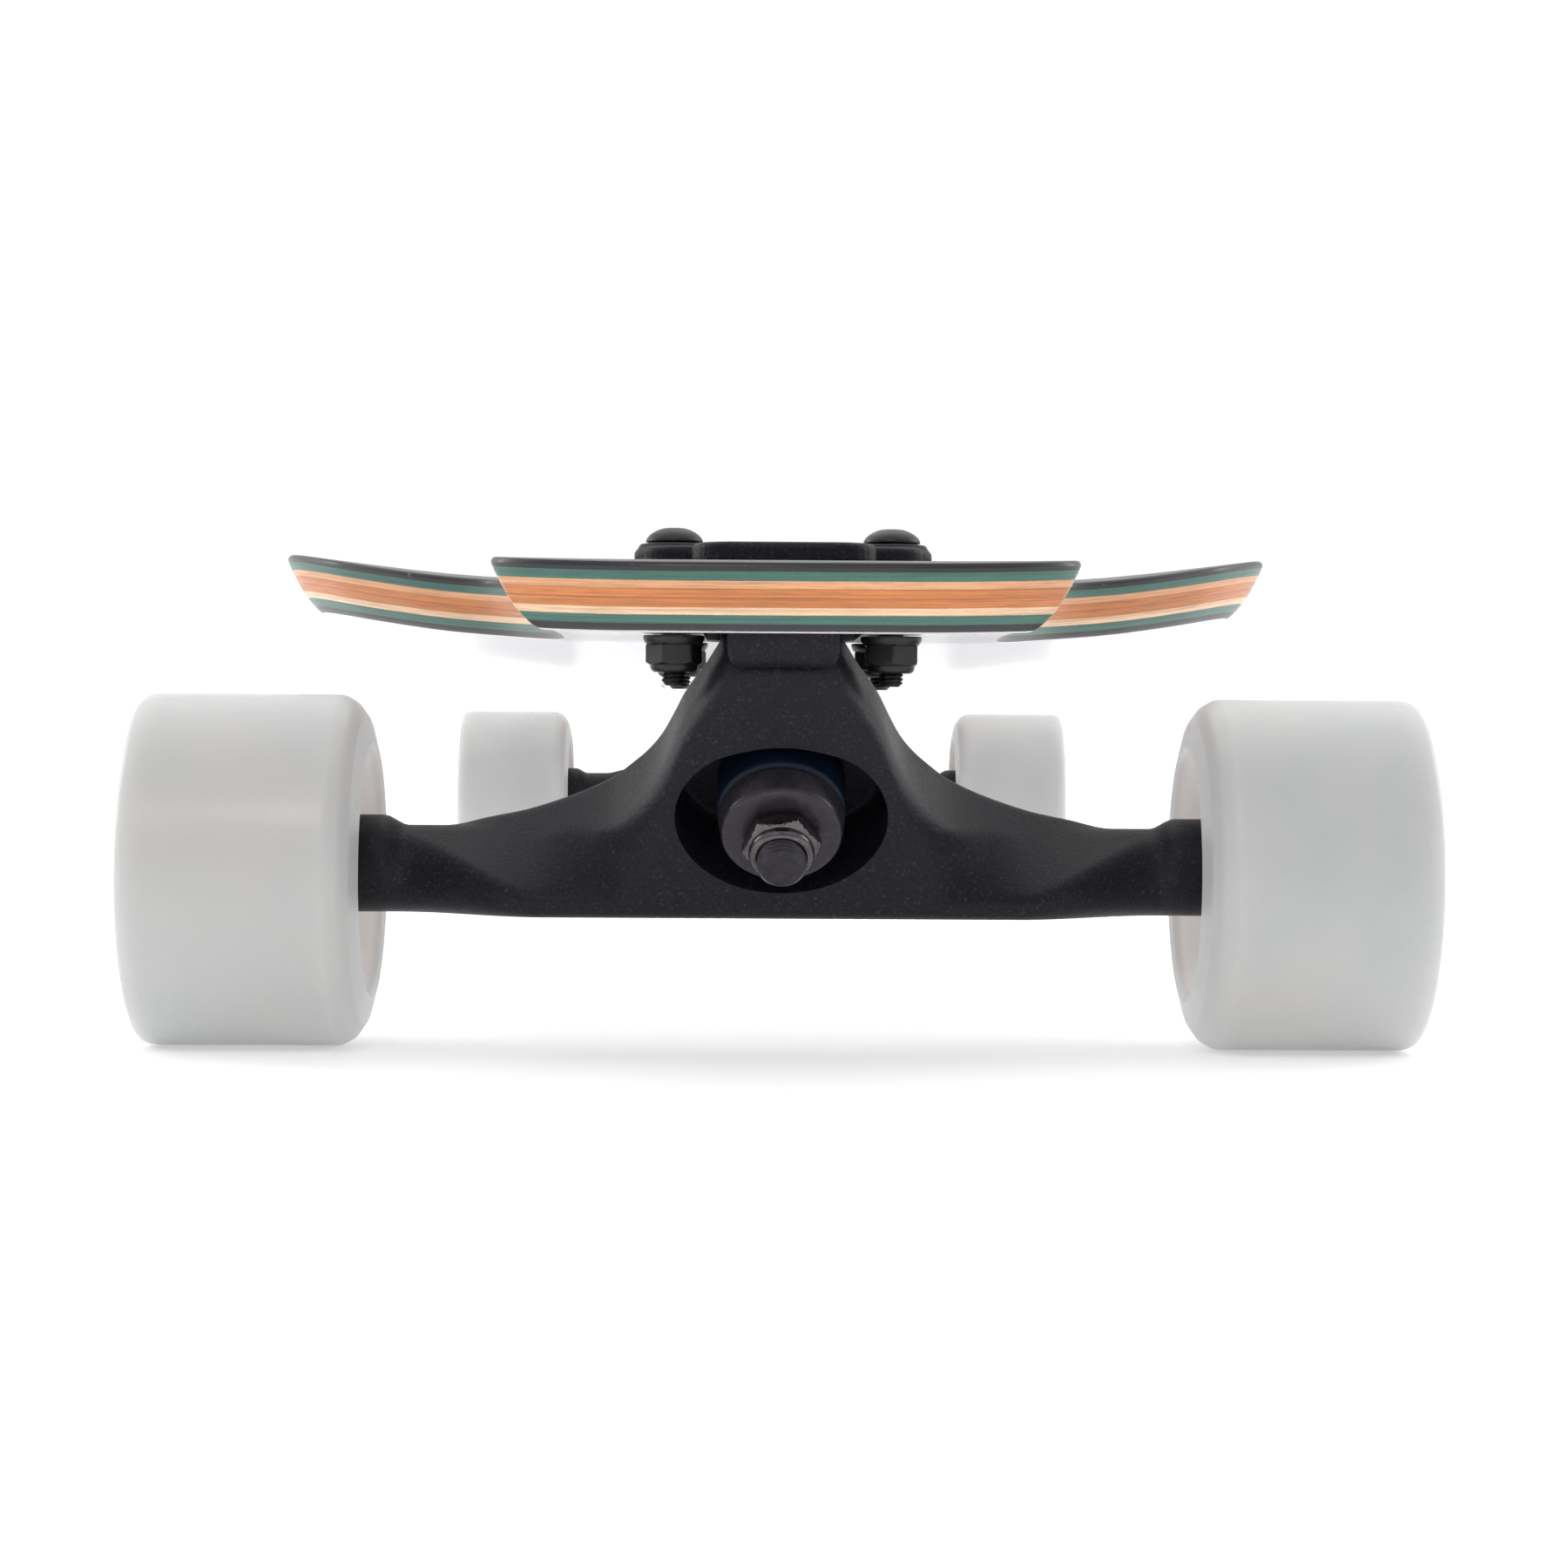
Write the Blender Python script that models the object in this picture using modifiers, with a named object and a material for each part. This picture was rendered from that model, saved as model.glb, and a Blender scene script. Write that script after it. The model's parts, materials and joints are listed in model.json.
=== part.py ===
"""Drop-through skateboard: laminated deck, two reverse-kingpin trucks and four wheels.

Frame: X across the board, Y along it (front truck at -Y), Z up, metres.
The origin is on the ground under the middle of the board.
Sizes below are in millimetres and are turned into metres where a mesh is made.
"""
import math

import bmesh
import bpy
from mathutils import Matrix, Vector

MM = 0.001
GAP = 0.3                    # clearance kept between pieces that touch

# Layout
AXLE_SPACING = 735.0         # front axle to rear axle
WHEEL_RADIUS = 35.0
STEER_LEAN = 40.0            # lean of the steering axis from vertical, towards the board's end

# Deck
DECK_LENGTH = 937.0
DECK_THICKNESS = 12.5
DECK_BOTTOM = 81.6           # underside height at the trucks
CAMBER = 3.0                 # rise of the standing platform above the trucks
NOSE_DROP = 2.2
DROP_START = 48.0            # measured outboard from the axle
DROP_LENGTH = 53.0
CAMBER_FULL = 268.0          # the rise is complete inside this distance from the middle
CAMBER_NONE = 342.0
RAIL_SLOPE = 0.135           # rise of the rails outside the bend line
RAIL_BEND = 68.0
RAIL_BEND_RADIUS = 18.0
FLAT_HALF_WIDTH = 28.0
NECK_HALF_WIDTH = 51.5
TIP_HALF_WIDTH = 20.0
TIP_CORNER = 16.0            # length of the rounded corner at the tip
TIP_BOW = 3.0
# distance from the middle of the board, half width of the deck there
FLARE = ((0.0, 120.0), (130.0, 119.0), (235.0, 116.0), (268.0, 112.0), (292.0, 100.0),
         (309.0, 82.0), (322.0, 62.5), (346.0, 53.0), (372.0, 51.5))
# how far the edge steps in, and how deep below the top it is there
EDGE_STEPS = ((0.5, 0.0), (0.0, 0.9), (1.9, 4.9), (4.4, 8.8), (6.9, 11.3), (9.2, 12.5))
CUTOUT_HALF_WIDTH = 15.0
CUTOUT_IN = -27.0            # inboard end, measured outboard from the axle
CUTOUT_OUT = 54.5

# Mounting bolts, measured outboard from the axle
BOLT_X = 20.65
BOLT_OUT = (32.0, -21.8)
BOLT_RADIUS = 2.4
BOLT_HOLE = 2.7
BOLT_HEAD_RADIUS = 5.35
HEAD_HEIGHT = 2.85
BOLT_END = 71.8
NUT_BOTTOM = 74.3
NUT_FLANGE = 1.4
NUT_FLANGE_RADIUS = 5.9
NUT_FLATS = 4.75
NUT_BORE = BOLT_RADIUS + 0.25

# Baseplate
PLATE_BOTTOM = DECK_BOTTOM + DECK_THICKNESS + GAP
PLATE_TOP = 97.9
BOSS_TOP = 98.65             # round bosses under the bolt heads
BOSS_RADIUS = 6.6
PLATE_HALF_WIDTH = 27.2
PLATE_OUT = (-31.0, 41.5)
TONGUE_HALF_WIDTH = 17.0
TONGUE_OUT = 57.0
BLOCK_HALF_WIDTH = 10.35
BLOCK_BOTTOM = 74.8
BLOCK_CORNER = 3.5
WEDGE_HALF_WIDTH = 12.0
WELL_HALF_WIDTH = 8.6        # the hollow that the kingpin's head goes into

# Steering geometry: "along" runs up the steering axis from the axle line,
# "proud" runs square to it, down and outboard, along the kingpin.
KINGPIN_ALONG = 27.9
SEAT_ROAD = 2.2
SEAT_BOARD = -5.7
KINGPIN_RADIUS = 4.75
KINGPIN_END = 30.2
KINGPIN_NUT_RADIUS = 6.65
KINGPIN_NUT_HEIGHT = 7.2
BOSS_FACE = -22.9
HEAD_SEAT = -27.0
BUSHING_RADIUS = 12.5
CUP_RADIUS = 11.0
CUP_THICKNESS = 1.8
ROAD_BUSHING_END = 17.2
BOARD_BUSHING_END = -20.6
KINGPIN_HEAD = (7.6, 5.2)    # radius and height
RIM_ALONG = 60.0             # rim of the pivot housing
SHOULDER_ALONG = 58.8        # top of the hanger's neck
PIVOT_RADIUS = 4.5
PIVOT_TIP_ALONG = 68.0
PIVOT_CUP_RADIUS = 6.5
PIVOT_CUP_END = 69.0

# Hanger
BEAM_RADIUS = 9.1
BEAM_BELOW = 8.3             # the beam's lowest line, below the axle line
WAIST_STEP = 0.4             # the beam is this much thinner at its waist
END_STEP = 1.0               # and this much thicker again at its ends
EDGE_RADIUS = 3.0
POCKET_SEMI = (20.4, 14.9)
POCKET_PROUD = 16.6          # middle of the pocket's mouth
FACE_SLOPE = -0.268          # how the front face falls back along the steering axis
BACK_FACE = -7.9
# distance across from the middle, height of the hanger's upper edge above the axle line
HANGER_TOP = ((0.0, 48.9), (9.0, 48.9), (11.2, 47.6), (13.4, 44.7), (16.0, 41.0), (19.6, 36.2),
              (22.6, 30.7), (24.3, 27.8), (26.2, 25.2), (28.5, 22.7), (32.0, 19.7),
              (37.0, 17.1), (42.2, 15.0), (50.8, 12.3), (58.0, 10.8), (66.0, 9.1),
              (78.0, 8.8), (90.0, 8.8))
HANGER_SIDES = 16
FRONT_LOW = (19.5, -5.2)     # outboard and above the axle: the body's rounded lower front edge
NECK_TAPER = (1.2, 0.3)      # how much narrower the neck is at its back and its front
BULGE_FULL = 46.0
BULGE_NONE = 76.0

# Axle and wheels: distances across from the middle
AXLE_RADIUS = 4.0
AXLE_HALF_LENGTH = 124.5
RUNNING_GAP = 0.3
SPEED_WASHER = (90.3, 91.1)
SPEED_WASHER_RADIUS = 7.4
BEARING_INNER = 91.4
BEARING_OUTER = 108.3
BEARING_WIDTH = 7.0
BEARING_RADIUS = 11.0
AXLE_NUT = (115.6, 122.4)
AXLE_NUT_FLATS = 6.4
WHEEL_STEPS = 24
# (radius, distance across) round the tread, the outer face, the bearing seats and the inner face
WHEEL_PROFILE = ((32.6, 126.8), (34.3, 126.0), (35.0, 124.0), (35.0, 87.4), (33.4, 84.2),
                 (30.8, 82.5), (25.6, 81.1), (24.4, 81.8), (17.0, 88.6), (14.2, 90.6),
                 (11.35, 90.9), (11.35, 98.7), (9.0, 98.7), (9.0, 108.0), (11.35, 108.0),
                 (11.35, 116.6), (14.2, 116.9), (18.0, 121.4), (26.0, 126.2))

COLOURS = {
    "deck_wood": ((0.62, 0.27, 0.10), 0.45, 0.0),
    "black_cast": ((0.022, 0.021, 0.028), 0.5, 0.4),
    "steel": ((0.10, 0.095, 0.10), 0.35, 1.0),
    "zinc": ((0.55, 0.55, 0.57), 0.3, 1.0),
    "urethane": ((0.60, 0.60, 0.58), 0.3, 0.0),
    "bushing_blue": ((0.004, 0.03, 0.09), 0.45, 0.0),
    "cup_plastic": ((0.03, 0.03, 0.03), 0.5, 0.0),
    "bearing_steel": ((0.45, 0.45, 0.46), 0.3, 1.0),
}


def clear_scene():
    for item in list(bpy.data.objects):
        bpy.data.objects.remove(item, do_unlink=True)


def make_collection(name):
    collection = bpy.data.collections.new(name)
    bpy.context.scene.collection.children.link(collection)
    return collection


def make_material(name):
    colour, roughness, metallic = COLOURS[name]
    material = bpy.data.materials.new(name)
    material.use_nodes = True
    shader = material.node_tree.nodes["Principled BSDF"]
    shader.inputs["Base Color"].default_value = (*colour, 1.0)
    shader.inputs["Roughness"].default_value = roughness
    shader.inputs["Metallic"].default_value = metallic
    return material


clear_scene()
PARTS = make_collection("drop_through_skateboard")
CUTTERS = make_collection("cutters")
MATERIALS = {name: make_material(name) for name in COLOURS}


# ---------------------------------------------------------------- helpers
def add_object(name, mesh, material, parent=None, place=None):
    """A named part from a mesh, placed in its parent's frame."""
    item = bpy.data.objects.new(name, mesh)
    PARTS.objects.link(item)
    mesh.materials.clear()
    mesh.materials.append(MATERIALS[material])
    item.parent = parent
    if place is not None:
        item.matrix_local = place
    return item


def add_cutter(name, mesh, parent=None, place=None):
    item = bpy.data.objects.new(name, mesh)
    CUTTERS.objects.link(item)
    item.hide_render = True
    item.display_type = "WIRE"
    item.parent = parent
    if place is not None:
        item.matrix_local = place
    return item


def combine(item, other, operation):
    modifier = item.modifiers.new(operation.title(), "BOOLEAN")
    modifier.operation = operation
    modifier.object = other
    modifier.solver = "EXACT"


def mesh_from_bmesh(name, source):
    bmesh.ops.recalc_face_normals(source, faces=source.faces)
    mesh = bpy.data.meshes.new(name)
    source.to_mesh(mesh)
    source.free()
    return mesh


def flat_radius(radius, steps):
    """Corner radius of a polygon whose flats lie at the given radius."""
    return radius / math.cos(math.pi / steps)


def turned_mesh(name, profile, steps, closed):
    """A solid of revolution about Z from (radius, height) points, outer side top to bottom."""
    source = bmesh.new()
    corners = [source.verts.new((r * MM, 0.0, z * MM)) for r, z in profile]
    for first, second in zip(corners, corners[1:]):
        source.edges.new((first, second))
    if closed:
        source.edges.new((corners[-1], corners[0]))
    outline = bpy.data.meshes.new(name + "_outline")
    source.to_mesh(outline)
    source.free()
    carrier = bpy.data.objects.new(name + "_carrier", outline)
    bpy.context.scene.collection.objects.link(carrier)
    screw = carrier.modifiers.new("Screw", "SCREW")
    screw.axis = "Z"
    screw.angle = 2.0 * math.pi
    screw.steps = steps
    screw.render_steps = steps
    screw.use_merge_vertices = True
    screw.merge_threshold = 0.00001
    screw.use_smooth_shade = False
    bpy.context.view_layer.update()
    evaluated = carrier.evaluated_get(bpy.context.evaluated_depsgraph_get())
    mesh = bpy.data.meshes.new_from_object(evaluated)
    mesh.name = name
    bpy.data.objects.remove(carrier, do_unlink=True)
    bpy.data.meshes.remove(outline)
    return mesh


def ring_mesh(name, inner, outer, low, high, steps):
    """A plain ring: flats of the hole at the inner radius, corners at the outer radius."""
    hole = flat_radius(inner, steps)
    profile = ((hole, high), (outer, high), (outer, low), (hole, low))
    return turned_mesh(name, profile, steps, closed=True)


def outline_mesh(name, corners, thickness):
    """A flat outline in XY made into a plate centred on Z = 0, in millimetres."""
    curve = bpy.data.curves.new(name, "CURVE")
    curve.dimensions = "2D"
    curve.fill_mode = "BOTH"
    curve.extrude = thickness * 0.5 * MM
    spline = curve.splines.new("POLY")
    spline.points.add(len(corners) - 1)
    for point, (x, y) in zip(spline.points, corners):
        point.co = (x * MM, y * MM, 0.0, 1.0)
    spline.use_cyclic_u = True
    carrier = bpy.data.objects.new(name + "_carrier", curve)
    bpy.context.scene.collection.objects.link(carrier)
    bpy.context.view_layer.update()
    evaluated = carrier.evaluated_get(bpy.context.evaluated_depsgraph_get())
    source = bmesh.new()
    flat = bpy.data.meshes.new_from_object(evaluated)
    source.from_mesh(flat)
    bmesh.ops.remove_doubles(source, verts=source.verts, dist=0.00001)
    bpy.data.objects.remove(carrier, do_unlink=True)
    bpy.data.meshes.remove(flat)
    return mesh_from_bmesh(name, source)


def cylinder_mesh(name, radius, low, high, steps, stretch=(1.0, 1.0)):
    """A cylinder about Z whose flats lie at the given radius, optionally made oval."""
    source = bmesh.new()
    corner = flat_radius(radius, steps) * MM
    bmesh.ops.create_cone(source, cap_ends=True, segments=steps, radius1=corner,
                          radius2=corner, depth=(high - low) * MM)
    for vertex in source.verts:
        vertex.co.x *= stretch[0]
        vertex.co.y *= stretch[1]
        vertex.co.z += (high + low) * 0.5 * MM
    return mesh_from_bmesh(name, source)


def rounded_rectangle(half_width, low, high, radius, steps=4):
    """Corner points of a rounded rectangle, from y = low to y = high."""
    points = []
    centres = ((half_width - radius, high - radius, 0), (radius - half_width, high - radius, 90),
               (radius - half_width, low + radius, 180), (half_width - radius, low + radius, 270))
    for x, y, start in centres:
        for step in range(steps + 1):
            angle = math.radians(start + 90.0 * step / steps)
            points.append((x + radius * math.cos(angle), y + radius * math.sin(angle)))
    return points


def smooth_step(value, low, high):
    t = min(1.0, max(0.0, (value - low) / (high - low)))
    return t * t * (3.0 - 2.0 * t)


def along_table(table, x):
    """Smooth curve through (x, y) pairs, without overshoot."""
    if x <= table[0][0]:
        return table[0][1]
    slopes = [(b[1] - a[1]) / (b[0] - a[0]) for a, b in zip(table, table[1:])]
    for index, (start, end) in enumerate(zip(table, table[1:])):
        if x <= end[0]:
            before = slopes[max(index - 1, 0)]
            after = slopes[min(index + 1, len(slopes) - 1)]
            here = slopes[index]
            m0 = 0.0 if before * here <= 0.0 else 2.0 * before * here / (before + here)
            m1 = 0.0 if after * here <= 0.0 else 2.0 * after * here / (after + here)
            span = end[0] - start[0]
            t = (x - start[0]) / span
            return (start[1] * (1 + 2 * t) * (1 - t) ** 2 + m0 * span * t * (1 - t) ** 2
                    + end[1] * t * t * (3 - 2 * t) - m1 * span * t * t * (1 - t))
    return table[-1][1]


# ---------------------------------------------------------------- deck
def rail_bend(x):
    """A straight slope outside the bend line, rounded where it meets the flat middle."""
    outside = x - RAIL_BEND
    return RAIL_SLOPE * 0.5 * (math.hypot(outside, RAIL_BEND_RADIUS) + outside)


def rail_rise(x):
    return max(0.0, rail_bend(x) - rail_bend(FLAT_HALF_WIDTH))


def deck_top(x, y):
    """Height of the deck's upper surface."""
    from_middle = abs(y)
    truck = AXLE_SPACING * 0.5
    rise = CAMBER * (1.0 - smooth_step(from_middle, CAMBER_FULL, CAMBER_NONE))
    drop = NOSE_DROP * max(0.0, (from_middle - truck - DROP_START) / DROP_LENGTH) ** 2
    return DECK_BOTTOM + DECK_THICKNESS + rise - drop + rail_rise(abs(x))


def deck_outline():
    """(half width, distance along) from the middle to the tip, with the edge's outward normal."""
    corner_start = DECK_LENGTH * 0.5 - TIP_CORNER
    stations = [0.0, 60.0, 110.0, 160.0, 200.0, 230.0, 252.0, 268.0, 281.0, 292.0, 301.0,
                309.0, 316.0, 323.0, 332.0, 346.0, 372.0, 410.0, 432.0]
    points = [(along_table(FLARE, y), y) for y in stations]
    for step in range(6):
        angle = math.radians(18.0 * step)
        width = TIP_HALF_WIDTH + (NECK_HALF_WIDTH - TIP_HALF_WIDTH) * math.cos(angle)
        points.append((width, corner_start + TIP_CORNER * math.sin(angle)))
    normals = []
    for index in range(len(points)):
        before = points[max(index - 1, 0)]
        after = points[min(index + 1, len(points) - 1)]
        along = Vector((after[0] - before[0], after[1] - before[1]))
        normals.append(Vector((along.y, -along.x)).normalized())
    normals[0] = Vector((1.0, 0.0))
    normals[-1] = Vector((0.0, 1.0))
    return points, normals


def deck_row(width, y):
    """Points straight across the deck at one place along it."""
    flat = min(FLAT_HALF_WIDTH, 0.56 * width)
    half = [flat + (width - flat) * part for part in (0.0, 0.25, 0.55, 1.0)]
    across = [-x for x in reversed(half)] + [0.0] + half
    bow = TIP_BOW * smooth_step(abs(y), 400.0, DECK_LENGTH * 0.5)
    row = []
    for x in across:
        shift = bow * (x / NECK_HALF_WIDTH) ** 2
        row.append((x, y - math.copysign(shift, y)))
    return row


def make_deck():
    points, normals = deck_outline()
    half = [(w, y, n.x, n.y) for (w, y), n in zip(points, normals)]
    stations = [(w, -y, nx, -ny) for w, y, nx, ny in reversed(half[1:])] + half
    source = bmesh.new()
    levels = []
    for inset, depth in EDGE_STEPS:
        rows = []
        for width, y, nx, ny in stations:
            row = deck_row(width - inset * nx, y - inset * ny)
            rows.append([source.verts.new((x * MM, v * MM, (deck_top(x, v) - depth) * MM))
                         for x, v in row])
        levels.append(rows)
    columns = len(levels[0][0])
    for rows in (levels[0], levels[-1]):
        for first, second in zip(rows, rows[1:]):
            for c in range(columns - 1):
                source.faces.new((first[c], first[c + 1], second[c + 1], second[c]))
    for upper, lower in zip(levels, levels[1:]):
        rings = []
        for rows in (upper, lower):
            ring = list(rows[0]) + [row[-1] for row in rows[1:]]
            ring += list(reversed(rows[-1][:-1])) + [row[0] for row in reversed(rows[1:-1])]
            rings.append(ring)
        count = len(rings[0])
        for i in range(count):
            j = (i + 1) % count
            source.faces.new((rings[0][i], rings[0][j], rings[1][j], rings[1][i]))
    unused = [vertex for vertex in source.verts if not vertex.link_faces]
    bmesh.ops.delete(source, geom=unused, context="VERTS")
    return add_object("deck", mesh_from_bmesh("deck", source), "deck_wood")


def cut_deck(deck, truck, name):
    """The slot and the four bolt holes that one truck needs."""
    outline = rounded_rectangle(CUTOUT_HALF_WIDTH, -CUTOUT_OUT, -CUTOUT_IN, 7.0)
    middle = Matrix.Translation((0.0, 0.0, (DECK_BOTTOM + DECK_THICKNESS * 0.5) * MM))
    slot = outline_mesh(name + "_slot", outline, DECK_THICKNESS * 3.0)
    combine(deck, add_cutter(name + "_slot", slot, truck, middle), "DIFFERENCE")
    hole = cylinder_mesh(name + "_bolt_hole", BOLT_HOLE, -20.0, 20.0, 10)
    for index, (x, out) in enumerate(bolt_places()):
        place = middle @ Matrix.Translation((x * MM, -out * MM, 0.0))
        combine(deck, add_cutter(f"{name}_bolt_hole_{index}", hole, truck, place), "DIFFERENCE")


def bolt_places():
    return [(x, out) for out in BOLT_OUT for x in (-BOLT_X, BOLT_X)]


# ---------------------------------------------------------------- baseplate
def side_prism(name, corners, half_width):
    """A prism across the truck from an outline given as (outboard, height)."""
    mesh = outline_mesh(name, corners, half_width * 2.0)
    mesh.transform(Matrix(((0, 0, -1, 0), (-1, 0, 0, 0), (0, 1, 0, 0), (0, 0, 0, 1))))
    return mesh


def steer_point(along, proud):
    """(outboard, height) of a point given in the steering axis's own directions."""
    lean = math.radians(STEER_LEAN)
    out = along * math.sin(lean) + proud * math.cos(lean)
    return out, WHEEL_RADIUS + along * math.cos(lean) - proud * math.sin(lean)


def make_baseplate(name, truck, steering):
    middle = (PLATE_BOTTOM + PLATE_TOP) * 0.5
    thickness = PLATE_TOP - PLATE_BOTTOM
    outline = rounded_rectangle(PLATE_HALF_WIDTH, -PLATE_OUT[1], -PLATE_OUT[0], 8.0)
    plate = add_object(name + "_baseplate", outline_mesh(name + "_baseplate", outline, thickness),
                       "black_cast", truck, Matrix.Translation((0.0, 0.0, middle * MM)))
    tongue = rounded_rectangle(TONGUE_HALF_WIDTH, -TONGUE_OUT, 0.0, 8.0)
    combine(plate, add_cutter(name + "_tongue", outline_mesh(name + "_tongue", tongue, thickness),
                              truck, Matrix.Translation((0.0, 0.0, middle * MM))), "UNION")
    inside = PLATE_BOTTOM + 1.0
    wedge = ((-24.0, inside), (-20.5, 76.0), (-14.0, 65.0), steer_point(15.0, BOSS_FACE),
             steer_point(42.0, BOSS_FACE), (15.0, 88.0), (15.0, inside))
    combine(plate, add_cutter(name + "_wedge", side_prism(name + "_wedge", wedge, WEDGE_HALF_WIDTH),
                              truck), "UNION")
    side = ((37.0, inside), steer_point(RIM_ALONG, -6.9), steer_point(RIM_ALONG, 8.9),
            (47.6, 74.9), (50.4, 76.6), (51.8, 80.0), (51.8, inside))
    block = add_cutter(name + "_block", side_prism(name + "_block", side, BLOCK_HALF_WIDTH + 1.0), truck)
    face = rounded_rectangle(BLOCK_HALF_WIDTH, BLOCK_BOTTOM, PLATE_TOP + 20.0, BLOCK_CORNER)
    sleeve = outline_mesh(name + "_sleeve", face, 200.0)
    sleeve.transform(Matrix.Rotation(math.pi / 2, 4, "X"))
    combine(block, add_cutter(name + "_sleeve", sleeve, truck), "INTERSECT")
    combine(plate, block, "UNION")
    boss = cylinder_mesh(name + "_boss", BOSS_RADIUS, PLATE_BOTTOM + 1.0, BOSS_TOP, 16)
    for index, (x, out) in enumerate(bolt_places()):
        place = Matrix.Translation((x * MM, -out * MM, 0.0))
        combine(plate, add_cutter(f"{name}_boss_{index}", boss, truck, place), "UNION")
    well = (steer_point(KINGPIN_ALONG + 9.5, HEAD_SEAT), steer_point(KINGPIN_ALONG - 9.5, HEAD_SEAT),
            (-17.2, 76.0), (-19.0, 84.0), (-19.0, PLATE_TOP + 5.0), (6.0, PLATE_TOP + 5.0))
    combine(plate, add_cutter(name + "_well", side_prism(name + "_well", well, WELL_HALF_WIDTH), truck),
            "DIFFERENCE")
    bore = cylinder_mesh(name + "_kingpin_bore", KINGPIN_RADIUS + GAP, -35.0, -20.0, 14)
    combine(plate, add_cutter(name + "_kingpin_bore", bore, steering, kingpin_place()), "DIFFERENCE")
    cup = cylinder_mesh(name + "_cup_bore", PIVOT_CUP_RADIUS + GAP, RIM_ALONG - 6.0,
                        PIVOT_CUP_END + GAP, 16)
    combine(plate, add_cutter(name + "_cup_bore", cup, steering), "DIFFERENCE")
    hole = cylinder_mesh(name + "_plate_hole", BOLT_HOLE, -8.0, 8.0, 10)
    for index, (x, out) in enumerate(bolt_places()):
        place = Matrix.Translation((x * MM, -out * MM, middle * MM))
        combine(plate, add_cutter(f"{name}_plate_hole_{index}", hole, truck, place), "DIFFERENCE")


def make_bolts(name, truck):
    head_low = BOSS_TOP + GAP
    head_top = head_low + HEAD_HEIGHT
    profile = ((0.0, head_top), (2.2, head_top - 0.2), (4.2, head_top - 1.1),
               (BOLT_HEAD_RADIUS, head_low + 0.7), (BOLT_HEAD_RADIUS, head_low),
               (BOLT_RADIUS, head_low), (BOLT_RADIUS, BOLT_END + 0.6), (BOLT_RADIUS - 0.6, BOLT_END),
               (0.0, BOLT_END))
    bolt = turned_mesh(name + "_bolt", profile, 12, closed=False)
    flange_top = DECK_BOTTOM - GAP
    flange = ring_mesh(name + "_nut", NUT_BORE, NUT_FLANGE_RADIUS, flange_top - NUT_FLANGE,
                       flange_top, 12)
    hexagon = cylinder_mesh(name + "_hexagon", NUT_FLATS, NUT_BOTTOM, flange_top - NUT_FLANGE * 0.5, 6)
    bore = cylinder_mesh(name + "_nut_bore", NUT_BORE, NUT_BOTTOM - 3.0, flange_top + 3.0, 12)
    for index, (x, out) in enumerate(bolt_places()):
        place = Matrix.Translation((x * MM, -out * MM, 0.0))
        add_object(f"{name}_bolt_{index + 1}", bolt, "steel", truck, place)
        nut = add_object(f"{name}_bolt_nut_{index + 1}", flange, "steel", truck, place)
        combine(nut, add_cutter(f"{name}_hexagon_{index}", hexagon, truck, place), "UNION")
        combine(nut, add_cutter(f"{name}_nut_bore_{index}", bore, truck, place), "DIFFERENCE")


# ---------------------------------------------------------------- kingpin, bushings, pivot cup
def kingpin_place():
    """Turns Z to run down the kingpin, from the point where it crosses the steering axis."""
    return Matrix.Translation((0.0, 0.0, KINGPIN_ALONG * MM)) @ Matrix.Rotation(math.pi / 2, 4, "X")


def cup_washer_profile(low, side):
    """A washer with a raised rim; side is 1 where the rim points up the axis."""
    bore = flat_radius(KINGPIN_RADIUS + GAP, 20)
    high = low + CUP_THICKNESS
    points = [(bore, high), (CUP_RADIUS - 1.8, high), (CUP_RADIUS, high - 0.8), (CUP_RADIUS, low),
              (bore, low)]
    if side > 0:
        return tuple(points)
    flipped = [(r, low + high - z) for r, z in reversed(points)]
    return tuple(flipped)


def make_kingpin_set(name, steering):
    place = kingpin_place()
    head = KINGPIN_HEAD[0]
    head_end = HEAD_SEAT - GAP - KINGPIN_HEAD[1]
    shaft = ((0.0, KINGPIN_END), (KINGPIN_RADIUS - 0.9, KINGPIN_END),
             (KINGPIN_RADIUS, KINGPIN_END - 0.9), (KINGPIN_RADIUS, HEAD_SEAT - GAP),
             (head, HEAD_SEAT - GAP), (head, head_end), (0.0, head_end))
    add_object(name + "_kingpin", turned_mesh(name + "_kingpin", shaft, 16, closed=False),
               "steel", steering, place)
    bushings = (("road", SEAT_ROAD + GAP, ROAD_BUSHING_END),
                ("board", BOARD_BUSHING_END, SEAT_BOARD - GAP))
    for label, low, high in bushings:
        mesh = ring_mesh(f"{name}_bushing_{label}", KINGPIN_RADIUS + GAP, BUSHING_RADIUS, low, high, 20)
        add_object(f"{name}_bushing_{label}", mesh, "bushing_blue", steering, place)
    washer_low = ROAD_BUSHING_END + GAP
    washers = (("road", washer_low, 1), ("board", BOSS_FACE + GAP, -1))
    for label, low, side in washers:
        mesh = turned_mesh(f"{name}_cup_washer_{label}", cup_washer_profile(low, side), 20, closed=True)
        add_object(f"{name}_cup_washer_{label}", mesh, "steel", steering, place)
    nut_low = washer_low + CUP_THICKNESS + GAP
    nut = add_object(name + "_kingpin_nut",
                     cylinder_mesh(name + "_kingpin_nut", KINGPIN_NUT_RADIUS, nut_low,
                                   nut_low + KINGPIN_NUT_HEIGHT, 6),
                     "steel", steering, place)
    bore = cylinder_mesh(name + "_kingpin_nut_bore", KINGPIN_RADIUS + 0.25, nut_low - 3, nut_low + 12, 16)
    combine(nut, add_cutter(name + "_kingpin_nut_bore", bore, steering, place), "DIFFERENCE")


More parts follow.
